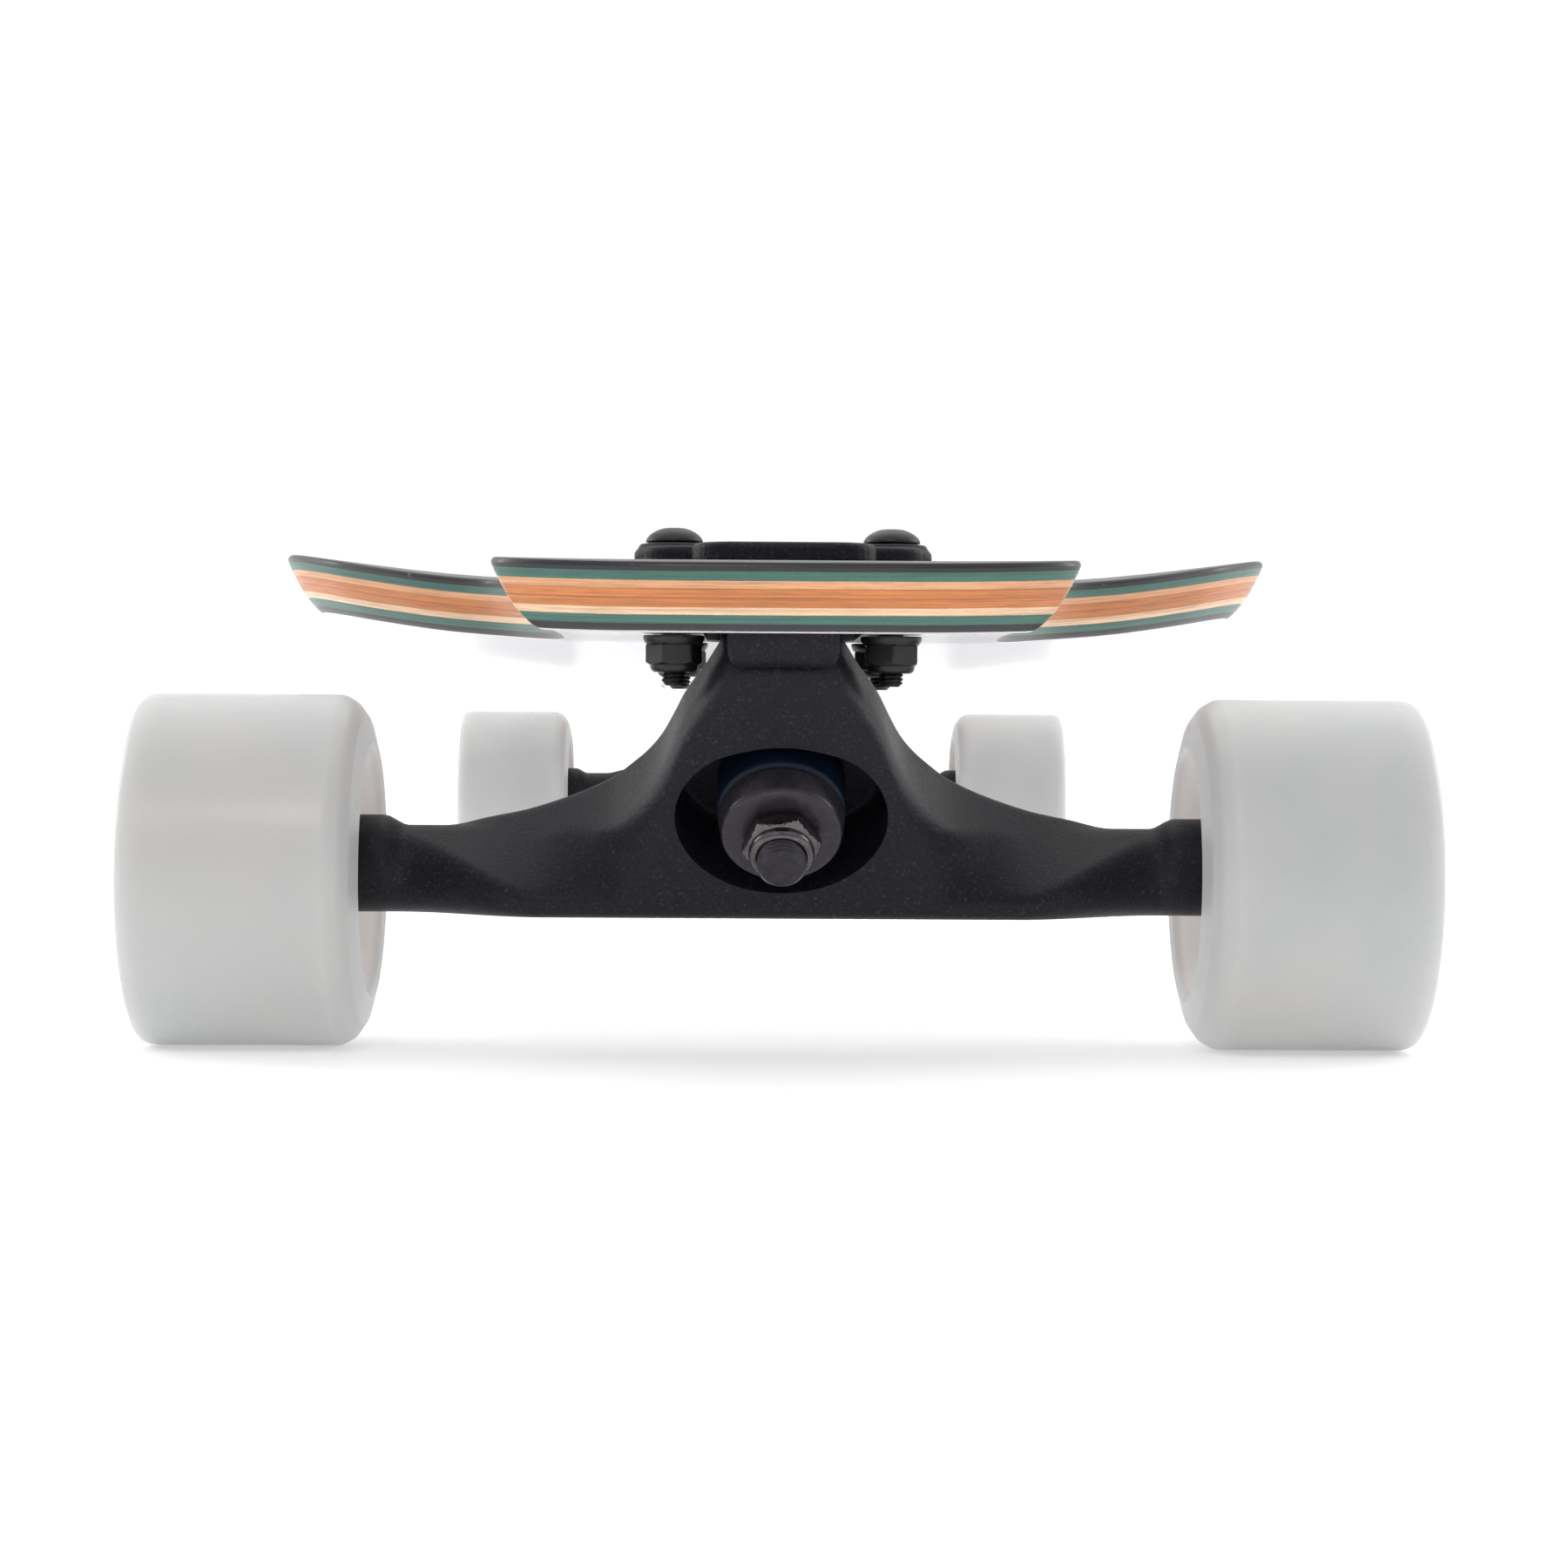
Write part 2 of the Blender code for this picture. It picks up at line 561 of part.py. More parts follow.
def make_pivot_cup(name, steering):
    bore = flat_radius(PIVOT_RADIUS + GAP, 16)
    profile = ((0.0, PIVOT_CUP_END), (PIVOT_CUP_RADIUS, PIVOT_CUP_END),
               (PIVOT_CUP_RADIUS, RIM_ALONG + 0.2), (bore, RIM_ALONG + 0.2),
               (bore, PIVOT_TIP_ALONG - PIVOT_RADIUS + 1.0), (bore * 0.72, PIVOT_TIP_ALONG - 0.9),
               (0.0, PIVOT_TIP_ALONG + GAP))
    mesh = turned_mesh(name + "_pivot_cup", profile, 16, closed=False)
    add_object(name + "_pivot_cup", mesh, "cup_plastic", steering)


# ---------------------------------------------------------------- hanger
def hanger_circles(x):
    """Rounding circles of the hanger's section at x: (outboard, above axle, radius)."""
    lean = math.radians(STEER_LEAN)
    side = abs(x)
    bulge = 1.0 - smooth_step(side, BULGE_FULL, BULGE_NONE)
    beam = (BEAM_RADIUS - WAIST_STEP * smooth_step(side, 55.0, 67.0)
            + END_STEP * smooth_step(side, 74.0, 79.0))
    neck = smooth_step(side, 6.0, 14.0) - smooth_step(side, 22.0, 32.0)
    back = BACK_FACE + EDGE_RADIUS
    tops = [along_table(HANGER_TOP, side + taper * neck) - EDGE_RADIUS for taper in NECK_TAPER]
    back_along, front_along = [(top + back * math.sin(lean)) / math.cos(lean) for top in tops]
    front = POCKET_PROUD + FACE_SLOPE * (front_along + EDGE_RADIUS - KINGPIN_ALONG) - EDGE_RADIUS
    front = back + (front - back) * bulge
    middle = beam - BEAM_BELOW
    circles = [(0.0, middle, beam)]
    for along, proud in ((back_along, back), (front_along, front)):
        circles.append((along * math.sin(lean) + proud * math.cos(lean),
                        along * math.cos(lean) - proud * math.sin(lean), EDGE_RADIUS))
    circles.append((FRONT_LOW[0] * bulge, middle + (FRONT_LOW[1] - middle) * bulge,
                    beam + (EDGE_RADIUS - beam) * bulge))
    return circles


def hanger_section(x, sides):
    """Section points (outboard, above axle) round the hull of the rounding circles."""
    circles = hanger_circles(x)
    points = []
    for step in range(sides):
        angle = 2.0 * math.pi * (step + 0.5) / sides
        normal = (math.cos(angle), math.sin(angle))
        out, up, radius = max(circles, key=lambda c: c[0] * normal[0] + c[1] * normal[1] + c[2])
        points.append((out + radius * normal[0], up + radius * normal[1]))
    return points


def hanger_mesh(name):
    stations = [x for x, _ in HANGER_TOP]
    across = [-x for x in reversed(stations[1:])] + stations
    lean = Matrix.Rotation(-math.radians(STEER_LEAN), 4, "X")
    source = bmesh.new()
    rings = []
    for x in across:
        ring = []
        for out, up in hanger_section(x, HANGER_SIDES):
            ring.append(source.verts.new(lean @ Vector((x * MM, -out * MM, up * MM))))
        rings.append(ring)
    for first, second in zip(rings, rings[1:]):
        for i in range(HANGER_SIDES):
            j = (i + 1) % HANGER_SIDES
            source.faces.new((first[i], first[j], second[j], second[i]))
    source.faces.new(rings[0])
    source.faces.new(rings[-1])
    return mesh_from_bmesh(name, source)


def make_hanger(name, steering):
    hanger = add_object(name + "_hanger", hanger_mesh(name + "_hanger"), "black_cast", steering)
    tip = PIVOT_TIP_ALONG
    nose = ((0.0, tip), (2.6, tip - 0.8), (PIVOT_RADIUS - 0.4, tip - 2.8), (PIVOT_RADIUS, tip - 4.8),
            (PIVOT_RADIUS, SHOULDER_ALONG - 6.0), (0.0, SHOULDER_ALONG - 6.0))
    nose_mesh = turned_mesh(name + "_nose", nose, 16, closed=False)
    combine(hanger, add_cutter(name + "_nose", nose_mesh, steering), "UNION")
    place = kingpin_place()
    oval = (1.0, POCKET_SEMI[1] / POCKET_SEMI[0])
    pocket = cylinder_mesh(name + "_pocket", POCKET_SEMI[0], SEAT_ROAD, 45.0, 26, oval)
    seat = cylinder_mesh(name + "_seat", BUSHING_RADIUS + 0.6, -30.0, SEAT_BOARD, 20)
    hole = cylinder_mesh(name + "_ring_hole", 7.0, SEAT_BOARD - 3.0, SEAT_ROAD + 3.0, 16)
    for label, mesh in (("pocket", pocket), ("seat", seat), ("ring_hole", hole)):
        combine(hanger, add_cutter(f"{name}_{label}", mesh, steering, place), "DIFFERENCE")
    bore = cylinder_mesh(name + "_axle_bore", AXLE_RADIUS + GAP, -100.0, 100.0, 14)
    across = Matrix.Rotation(math.pi / 2, 4, "Y")
    combine(hanger, add_cutter(name + "_axle_bore", bore, steering, across), "DIFFERENCE")
    half = AXLE_HALF_LENGTH
    axle = ((0.0, half), (AXLE_RADIUS - 0.7, half), (AXLE_RADIUS, half - 0.7),
            (AXLE_RADIUS, 0.7 - half), (AXLE_RADIUS - 0.7, -half), (0.0, -half))
    add_object(name + "_axle", turned_mesh(name + "_axle", axle, 14, closed=False), "zinc",
               steering, across)


# ---------------------------------------------------------------- wheels
def wheel_end(side, steps):
    """Turns Z outwards along the axle, with a flat of the turned shape lying lowest."""
    turn = Matrix.Rotation(side * math.pi / 2, 4, "Y")
    return turn @ Matrix.Rotation(math.pi / steps, 4, "Z")


def make_wheels(name, truck):
    axle = bpy.data.objects.new(name + "_axle_line", None)
    PARTS.objects.link(axle)
    axle.parent = truck
    axle.location = (0.0, 0.0, WHEEL_RADIUS * MM)
    scale = 1.0 / math.cos(math.pi / WHEEL_STEPS)
    profile = [(r * scale, z) for r, z in WHEEL_PROFILE]
    wheel = turned_mesh(name + "_wheel", profile, WHEEL_STEPS, closed=True)
    for label, side in (("left", -1), ("right", 1)):
        place = wheel_end(side, WHEEL_STEPS)
        add_object(f"{name}_{label}_wheel", wheel, "urethane", axle, place)
        for where, low in (("inner", BEARING_INNER), ("outer", BEARING_OUTER)):
            mesh = ring_mesh(f"{name}_{where}_bearing", AXLE_RADIUS + RUNNING_GAP, BEARING_RADIUS,
                             low, low + BEARING_WIDTH, 16)
            add_object(f"{name}_{label}_{where}_bearing", mesh, "bearing_steel", axle, place)
        washer = ring_mesh(name + "_speed_washer", AXLE_RADIUS + GAP, SPEED_WASHER_RADIUS,
                           *SPEED_WASHER, 12)
        add_object(f"{name}_{label}_speed_washer", washer, "zinc", axle, place)
        hexagon = cylinder_mesh(name + "_axle_nut", AXLE_NUT_FLATS, *AXLE_NUT, 6)
        nut = add_object(f"{name}_{label}_axle_nut", hexagon, "zinc", axle, place)
        bore = cylinder_mesh(name + "_axle_nut_bore", AXLE_RADIUS + 0.25, AXLE_NUT[0] - 2.0,
                             AXLE_NUT[1] + 2.0, 14)
        combine(nut, add_cutter(f"{name}_{label}_axle_nut_bore", bore, axle, place), "DIFFERENCE")


# ---------------------------------------------------------------- assembly
def make_truck(name, deck, along, turn):
    truck = bpy.data.objects.new(name + "_truck", None)
    PARTS.objects.link(truck)
    truck.location = (0.0, along * MM, 0.0)
    truck.rotation_euler = (0.0, 0.0, turn)
    steering = bpy.data.objects.new(name + "_steering_axis", None)
    PARTS.objects.link(steering)
    steering.parent = truck
    steering.location = (0.0, 0.0, WHEEL_RADIUS * MM)
    steering.rotation_euler = (math.radians(STEER_LEAN), 0.0, 0.0)
    cut_deck(deck, truck, name)
    make_baseplate(name, truck, steering)
    make_bolts(name, truck)
    make_kingpin_set(name, steering)
    make_pivot_cup(name, steering)
    make_hanger(name, steering)
    make_wheels(name, truck)


deck_object = make_deck()
make_truck("front", deck_object, -AXLE_SPACING * 0.5, 0.0)
make_truck("rear", deck_object, AXLE_SPACING * 0.5, math.pi)
bpy.context.view_layer.update()
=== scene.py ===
"""Looks for the drop-through skateboard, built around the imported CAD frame.

Row frame: X across the board, Y along it (front truck at -Y), Z up, metres.
Shapes below are written in millimetres in a truck's own frame and placed from the CAD's boxes.
"""
import json
from math import copysign, cos, degrees, hypot, pi, radians, sin

import bmesh
import bpy
from mathutils import Matrix, Vector


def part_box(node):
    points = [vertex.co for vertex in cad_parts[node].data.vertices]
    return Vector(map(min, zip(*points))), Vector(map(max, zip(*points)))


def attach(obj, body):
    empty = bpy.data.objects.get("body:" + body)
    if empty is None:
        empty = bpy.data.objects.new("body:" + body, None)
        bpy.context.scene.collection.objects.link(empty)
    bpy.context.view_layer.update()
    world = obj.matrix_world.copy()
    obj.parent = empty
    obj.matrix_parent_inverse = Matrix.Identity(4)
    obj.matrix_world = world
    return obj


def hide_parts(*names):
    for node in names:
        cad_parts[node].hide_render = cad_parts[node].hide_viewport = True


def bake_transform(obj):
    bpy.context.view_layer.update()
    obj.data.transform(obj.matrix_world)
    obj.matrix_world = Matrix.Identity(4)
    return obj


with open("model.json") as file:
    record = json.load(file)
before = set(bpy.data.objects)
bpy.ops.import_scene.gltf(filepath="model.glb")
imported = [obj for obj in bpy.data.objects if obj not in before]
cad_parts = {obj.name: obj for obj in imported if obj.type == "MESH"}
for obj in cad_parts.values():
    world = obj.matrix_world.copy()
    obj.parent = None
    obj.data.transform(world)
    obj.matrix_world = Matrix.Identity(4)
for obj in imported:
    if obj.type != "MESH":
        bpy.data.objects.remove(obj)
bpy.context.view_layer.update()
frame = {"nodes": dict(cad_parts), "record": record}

MM = 0.001
BODY_OF = {node: body for body, nodes in frame["record"]["behaviour"]["bodies"].items()
           for node in nodes}

# ---- sizes shared with the CAD
# deck: its upper surface is flat, then raised between the trucks, turned up at the rails and
# turned down at the ends
DECK_THICKNESS = 12.5
DECK_BOTTOM = 81.6
DECK_LENGTH = 937.0
CAMBER = 3.0
CAMBER_FULL = 268.0
CAMBER_NONE = 342.0
RAIL_SLOPE = 0.135
RAIL_BEND = 68.0
RAIL_BEND_RADIUS = 18.0
NOSE_DROP = 2.2
DROP_START = 415.5
DROP_LENGTH = 53.0
FLAT_HALF_WIDTH = 28.0
NECK_HALF_WIDTH = 51.5
TIP_HALF_WIDTH = 20.0
TIP_CORNER = 16.0
TIP_BOW = 3.0
TIP_BOW_START = 400.0
# distance from the middle, half width of the deck there
FLARE = ((0.0, 120.0), (130.0, 119.0), (235.0, 116.0), (268.0, 112.0), (292.0, 100.0),
         (309.0, 82.0), (322.0, 62.5), (346.0, 53.0), (372.0, 51.5))
# the deck's edge from top to bottom: inset from the outline, depth
EDGE_STEPS = ((0.9, 0.0), (0.4, 0.12), (0.1, 0.45), (0.0, 0.95), (0.6, 2.4), (1.9, 4.9),
              (3.1, 7.0), (4.4, 8.8), (5.7, 10.2), (7.0, 11.4), (8.0, 12.1), (8.9, 12.42),
              (9.7, 12.5))
CUTOUT_HALF_WIDTH = 15.0
CUTOUT_IN = -27.0
CUTOUT_OUT = 54.5
CUTOUT_CORNER = 7.0
# mounting bolts and baseplate, measured across and outboard of the axle, and from the ground
BOLT_X = 20.65
BOLT_OUT = (32.0, -21.8)
BOLT_PLACES = [(x, out) for out in BOLT_OUT for x in (-BOLT_X, BOLT_X)]
BOLT_HOLE_RADIUS = 2.7
PLATE_BOTTOM = 94.4
PLATE_TOP = 97.9
PLATE_CORNER = 8.0
PLATE_EDGE = 1.1
BOSS_TOP = 98.65
# hanger, in the frame of its steering axis: along the axis, and proud of it
LEAN = radians(40.0)
AXLE_FROM_MIDDLE = 0.3675
AXLE_HEIGHT = 0.035
KINGPIN_ALONG = 27.9
# distance across from the middle, height of the hanger's upper edge above the axle line
HANGER_TOP = ((0.0, 48.9), (9.0, 48.9), (11.2, 47.6), (13.4, 44.7), (16.0, 41.0), (19.6, 36.2),
              (22.6, 30.7), (24.3, 27.8), (26.2, 25.2), (28.5, 22.7), (32.0, 19.7),
              (37.0, 17.1), (42.2, 15.0), (50.8, 12.3), (58.0, 10.8), (66.0, 9.1),
              (78.0, 8.8), (90.0, 8.8))
NECK_TAPER = (1.2, 0.3)
BACK_FACE = -7.9
EDGE_RADIUS = 3.0
FRONT_RADIUS = 8.0
POCKET_PROUD = 16.6
FACE_SLOPE = -0.268
FRONT_LOW = (19.5, -5.2)
BEAM_BELOW = 8.3
BULGE_FULL = 46.0
BULGE_NONE = 76.0
ARM_THINNING = 0.62
HULL_STEPS = 240
# fasteners and bores
BUSHING_SEAT_RADIUS = 13.1
KINGPIN_RADIUS = 4.75
AXLE_RADIUS = 4.0
FINE_PITCH = 1.06
BOLT_RADIUS = 2.4
BOLT_PITCH = 0.8


# ---- materials
def add(tree, kind, inputs=None, **settings):
    """A shader node with its inputs set or linked, and its settings."""
    node = tree.nodes.new(kind)
    for key, value in settings.items():
        setattr(node, key, value)
    for key, value in (inputs or {}).items():
        if isinstance(value, bpy.types.NodeSocket):
            tree.links.new(value, node.inputs[key])
        else:
            node.inputs[key].default_value = value
    return node


def maths(tree, operation, first, second=0.0, third=0.0):
    return add(tree, "ShaderNodeMath", {0: first, 1: second, 2: third}, operation=operation).outputs[0]


def new_material(name):
    material = bpy.data.materials.new(name)
    material.use_nodes = True
    tree = material.node_tree
    tree.nodes.clear()
    shader = tree.nodes.new("ShaderNodeBsdfPrincipled")
    output = tree.nodes.new("ShaderNodeOutputMaterial")
    tree.links.new(shader.outputs[0], output.inputs[0])
    coords = tree.nodes.new("ShaderNodeTexCoord").outputs["Object"]
    return material, tree, shader, coords


def noise(tree, coords, scale, detail=2.0, roughness=0.5):
    return add(tree, "ShaderNodeTexNoise", {"Vector": coords, "Scale": scale, "Detail": detail,
                                            "Roughness": roughness}).outputs["Fac"]


def rgba(colour):
    """Four channels from a grey level or from three channels; a socket stays as it is."""
    if isinstance(colour, float):
        colour = (colour,) * 3
    return (*colour, 1.0) if isinstance(colour, tuple) else colour


def ramp(tree, value, stops):
    node = add(tree, "ShaderNodeValToRGB", {0: value})
    band = node.color_ramp
    while len(band.elements) > 1:
        band.elements.remove(band.elements[-1])
    for index, (place, colour) in enumerate(stops):
        element = band.elements[0] if index == 0 else band.elements.new(place)
        element.position = place
        element.color = rgba(colour)
    return node.outputs["Color"]


def mix(tree, factor, first, second, blend="MIX"):
    return add(tree, "ShaderNodeMix", {0: factor, 6: rgba(first), 7: rgba(second)},
               data_type="RGBA", blend_type=blend).outputs[2]


def map_range(tree, value, start, end, first, last, **settings):
    return add(tree, "ShaderNodeMapRange", {"Value": value, "From Min": start, "From Max": end,
                                            "To Min": first, "To Max": last}, **settings).outputs[0]


def bump(tree, shader, height, strength, distance):
    node = add(tree, "ShaderNodeBump", {"Height": height, "Strength": strength, "Distance": distance})
    tree.links.new(node.outputs[0], shader.inputs["Normal"])


def scaled(tree, coords, x, y, z):
    return add(tree, "ShaderNodeMapping", {"Vector": coords, "Scale": (x, y, z)}).outputs[0]


def link(tree, value, shader, socket):
    tree.links.new(value, shader.inputs[socket])


def fix(shader, constants):
    """Sets the shader's own sockets."""
    for socket, value in constants.items():
        shader.inputs[socket].default_value = value


def vary_roughness(tree, shader, value, low, high, end=0.7):
    """Roughness that follows a noise value from one level to another."""
    link(tree, ramp(tree, value, ((0.3, low), (end, high))), shader, "Roughness")


def tinted(colour, factor):
    return tuple(min(1.0, channel * factor) for channel in colour)


def cast_material(name, colour, fleck, rough, grain):
    """Powder-coated cast metal: fine grain, pale flecks and slightly rubbed patches."""
    material, tree, shader, coords = new_material(name)
    fine = noise(tree, coords, grain, 2.0, 0.6)
    broad = noise(tree, coords, 90.0, 3.0)
    base = ramp(tree, fine, ((0.30, tinted(colour, 0.6)), (0.48, colour),
                             (0.60, tinted(colour, 1.4)), (0.74, fleck)))
    base = mix(tree, ramp(tree, broad, ((0.35, 0.0), (0.7, 0.22))), base,
               tinted(colour, 1.3))
    link(tree, base, shader, "Base Color")
    vary_roughness(tree, shader, fine, rough - 0.08, rough + 0.1, 0.75)
    fix(shader, {"Specular IOR Level": 0.20})
    bump(tree, shader, fine, 0.5, 0.00022)
    return material


def steel_material(name, colour, rough, metallic, streaks=(1.0, 1.0, 1.0)):
    """Plated or blackened steel with fine tool marks and smudges."""
    material, tree, shader, coords = new_material(name)
    marks = noise(tree, scaled(tree, coords, *streaks), 700.0, 4.0, 0.65)
    smudge = noise(tree, coords, 160.0, 3.0)
    base = ramp(tree, marks, ((0.3, tinted(colour, 0.7)), (0.6, colour), (0.8, tinted(colour, 1.6))))
    link(tree, base, shader, "Base Color")
    vary_roughness(tree, shader, smudge, rough - 0.07, rough + 0.12)
    fix(shader, {"Metallic": metallic})
    bump(tree, shader, marks, 0.12, 0.0001)
    return material


def urethane_material():
    """Milky, slightly translucent wheel urethane with a satin cast skin."""
    material, tree, shader, coords = new_material("milky_urethane")
    cloud = noise(tree, coords, 26.0, 3.0, 0.55)
    base = ramp(tree, cloud, ((0.32, (0.490, 0.500, 0.506)), (0.5, (0.518, 0.523, 0.524)),
                              (0.7, (0.548, 0.540, 0.530))))
    grain = noise(tree, coords, 1500.0, 2.0)
    base = mix(tree, ramp(tree, grain, ((0.35, 0.0), (0.75, 0.10))), base,
               (0.66, 0.652, 0.64))
    # painted light: the faces inside the lips are paler, standing in for light glowing through the
    # translucent urethane there
    split = add(tree, "ShaderNodeSeparateXYZ", {0: coords})
    outboard = maths(tree, "SUBTRACT", maths(tree, "ABSOLUTE", split.outputs[1]), AXLE_FROM_MIDDLE)
    upward = maths(tree, "SUBTRACT", split.outputs[2], AXLE_HEIGHT)
    radius = maths(tree, "SQRT", maths(tree, "ADD", maths(tree, "MULTIPLY", outboard, outboard),
                                       maths(tree, "MULTIPLY", upward, upward)))
    # painted glow: full inside a radius of 23.5 mm, gone by 25.5 mm
    thin = map_range(tree, radius, 0.0235, 0.0255, 1.0, 0.0)
    base = mix(tree, thin, base, (0.79, 0.76, 0.745))
    link(tree, base, shader, "Base Color")
    fix(shader, {"Subsurface Weight": 0.7, "Subsurface Radius": (1.0, 0.95, 0.88),
                 "Subsurface Scale": 0.012, "IOR": 1.45, "Coat Weight": 0.12, "Coat Roughness": 0.22})
    vary_roughness(tree, shader, noise(tree, coords, 320.0, 3.0), 0.34, 0.46)
    bump(tree, shader, grain, 0.05, 0.0001)
    return material


def bushing_material():
    """Blue, faintly cloudy urethane, its own blue darkened with painted shade, as it looks deep in the
    hanger's pocket.
    """
    material, tree, shader, coords = new_material("blue_urethane")
    cloud = noise(tree, coords, 120.0, 3.0)
    # painted shade: both stops are far darker than the urethane's own blue
    link(tree, ramp(tree, cloud, ((0.3, (0.0006, 0.004, 0.013)), (0.7, (0.0012, 0.008, 0.024)))),
         shader, "Base Color")
    vary_roughness(tree, shader, noise(tree, coords, 900.0, 2.0), 0.4, 0.55)
    fix(shader, {"Specular IOR Level": 0.25})
    bump(tree, shader, cloud, 0.05, 0.0002)
    return material


def plastic_material(name, colour, rough):
    """Moulded plastic or rubber with a fine grain."""
    material, tree, shader, coords = new_material(name)
    grain = noise(tree, coords, 1800.0, 2.0)
    link(tree, ramp(tree, grain, ((0.3, tinted(colour, 0.8)), (0.7, colour))), shader, "Base Color")
    vary_roughness(tree, shader, grain, rough - 0.06, rough + 0.08)
    bump(tree, shader, grain, 0.1, 0.0001)
    return material


def deck_depth(tree, coords):
    """Depth below the deck's upper surface in millimetres, from the same curves as its shape."""
    split = add(tree, "ShaderNodeSeparateXYZ", {0: coords})
    x, y, z = [maths(tree, "MULTIPLY", split.outputs[i], 1000.0) for i in range(3)]
    along = maths(tree, "ABSOLUTE", y)
    across = maths(tree, "ABSOLUTE", x)
    rise = map_range(tree, along, CAMBER_FULL, CAMBER_NONE, CAMBER, 0.0,
                     interpolation_type="SMOOTHSTEP")
    past = maths(tree, "MAXIMUM", maths(tree, "MULTIPLY_ADD", along, 1.0 / DROP_LENGTH,
                                        -DROP_START / DROP_LENGTH), 0.0)
    drop = maths(tree, "MULTIPLY", maths(tree, "MULTIPLY", past, past), NOSE_DROP)
    outside = maths(tree, "SUBTRACT", across, RAIL_BEND)
    bent = maths(tree, "SQRT", maths(tree, "MULTIPLY_ADD", outside, outside, RAIL_BEND_RADIUS ** 2))
    rail = maths(tree, "MULTIPLY", maths(tree, "ADD", bent, outside), RAIL_SLOPE * 0.5)
    rail = maths(tree, "MAXIMUM", maths(tree, "SUBTRACT", rail, rail_bend(FLAT_HALF_WIDTH)), 0.0)
    top = maths(tree, "SUBTRACT", maths(tree, "ADD", maths(tree, "ADD", rise, rail),
                                        DECK_BOTTOM + DECK_THICKNESS), drop)
    return maths(tree, "SUBTRACT", top, z)


def rail_bend(x):
    """Height of the rail's bend, a hyperbola, at a distance across."""
    outside = x - RAIL_BEND
    return RAIL_SLOPE * 0.5 * (hypot(outside, RAIL_BEND_RADIUS) + outside)


LACQUER = (0.030, 0.032, 0.035)
BLACK_PLY = (0.0085, 0.0078, 0.0110)
GREEN_PLY = (0.040, 0.138, 0.108)
LIGHT_PLY = (0.70, 0.345, 0.172)
PALE_PLY = (0.84, 0.56, 0.355)
ORANGE_PLY = (0.565, 0.190, 0.050)
GLUE_LINE = (0.46, 0.165, 0.052)
DARK_GLUE = (0.40, 0.120, 0.040)
WHITE_PAINT = (0.80, 0.785, 0.815)
BOARD_DEPTH = 13.0
PAINT_DEPTH = 12.2
PLY_BLUR = 0.045
# lower edge of each layer, in millimetres below the upper surface
PLIES = ((0.22, LACQUER), (1.70, BLACK_PLY), (3.32, GREEN_PLY), (4.62, LIGHT_PLY), (4.85, GLUE_LINE),
         (6.20, ORANGE_PLY), (6.42, DARK_GLUE), (7.95, ORANGE_PLY), (9.25, PALE_PLY),
         (10.85, GREEN_PLY), (PAINT_DEPTH, BLACK_PLY), (BOARD_DEPTH, WHITE_PAINT))


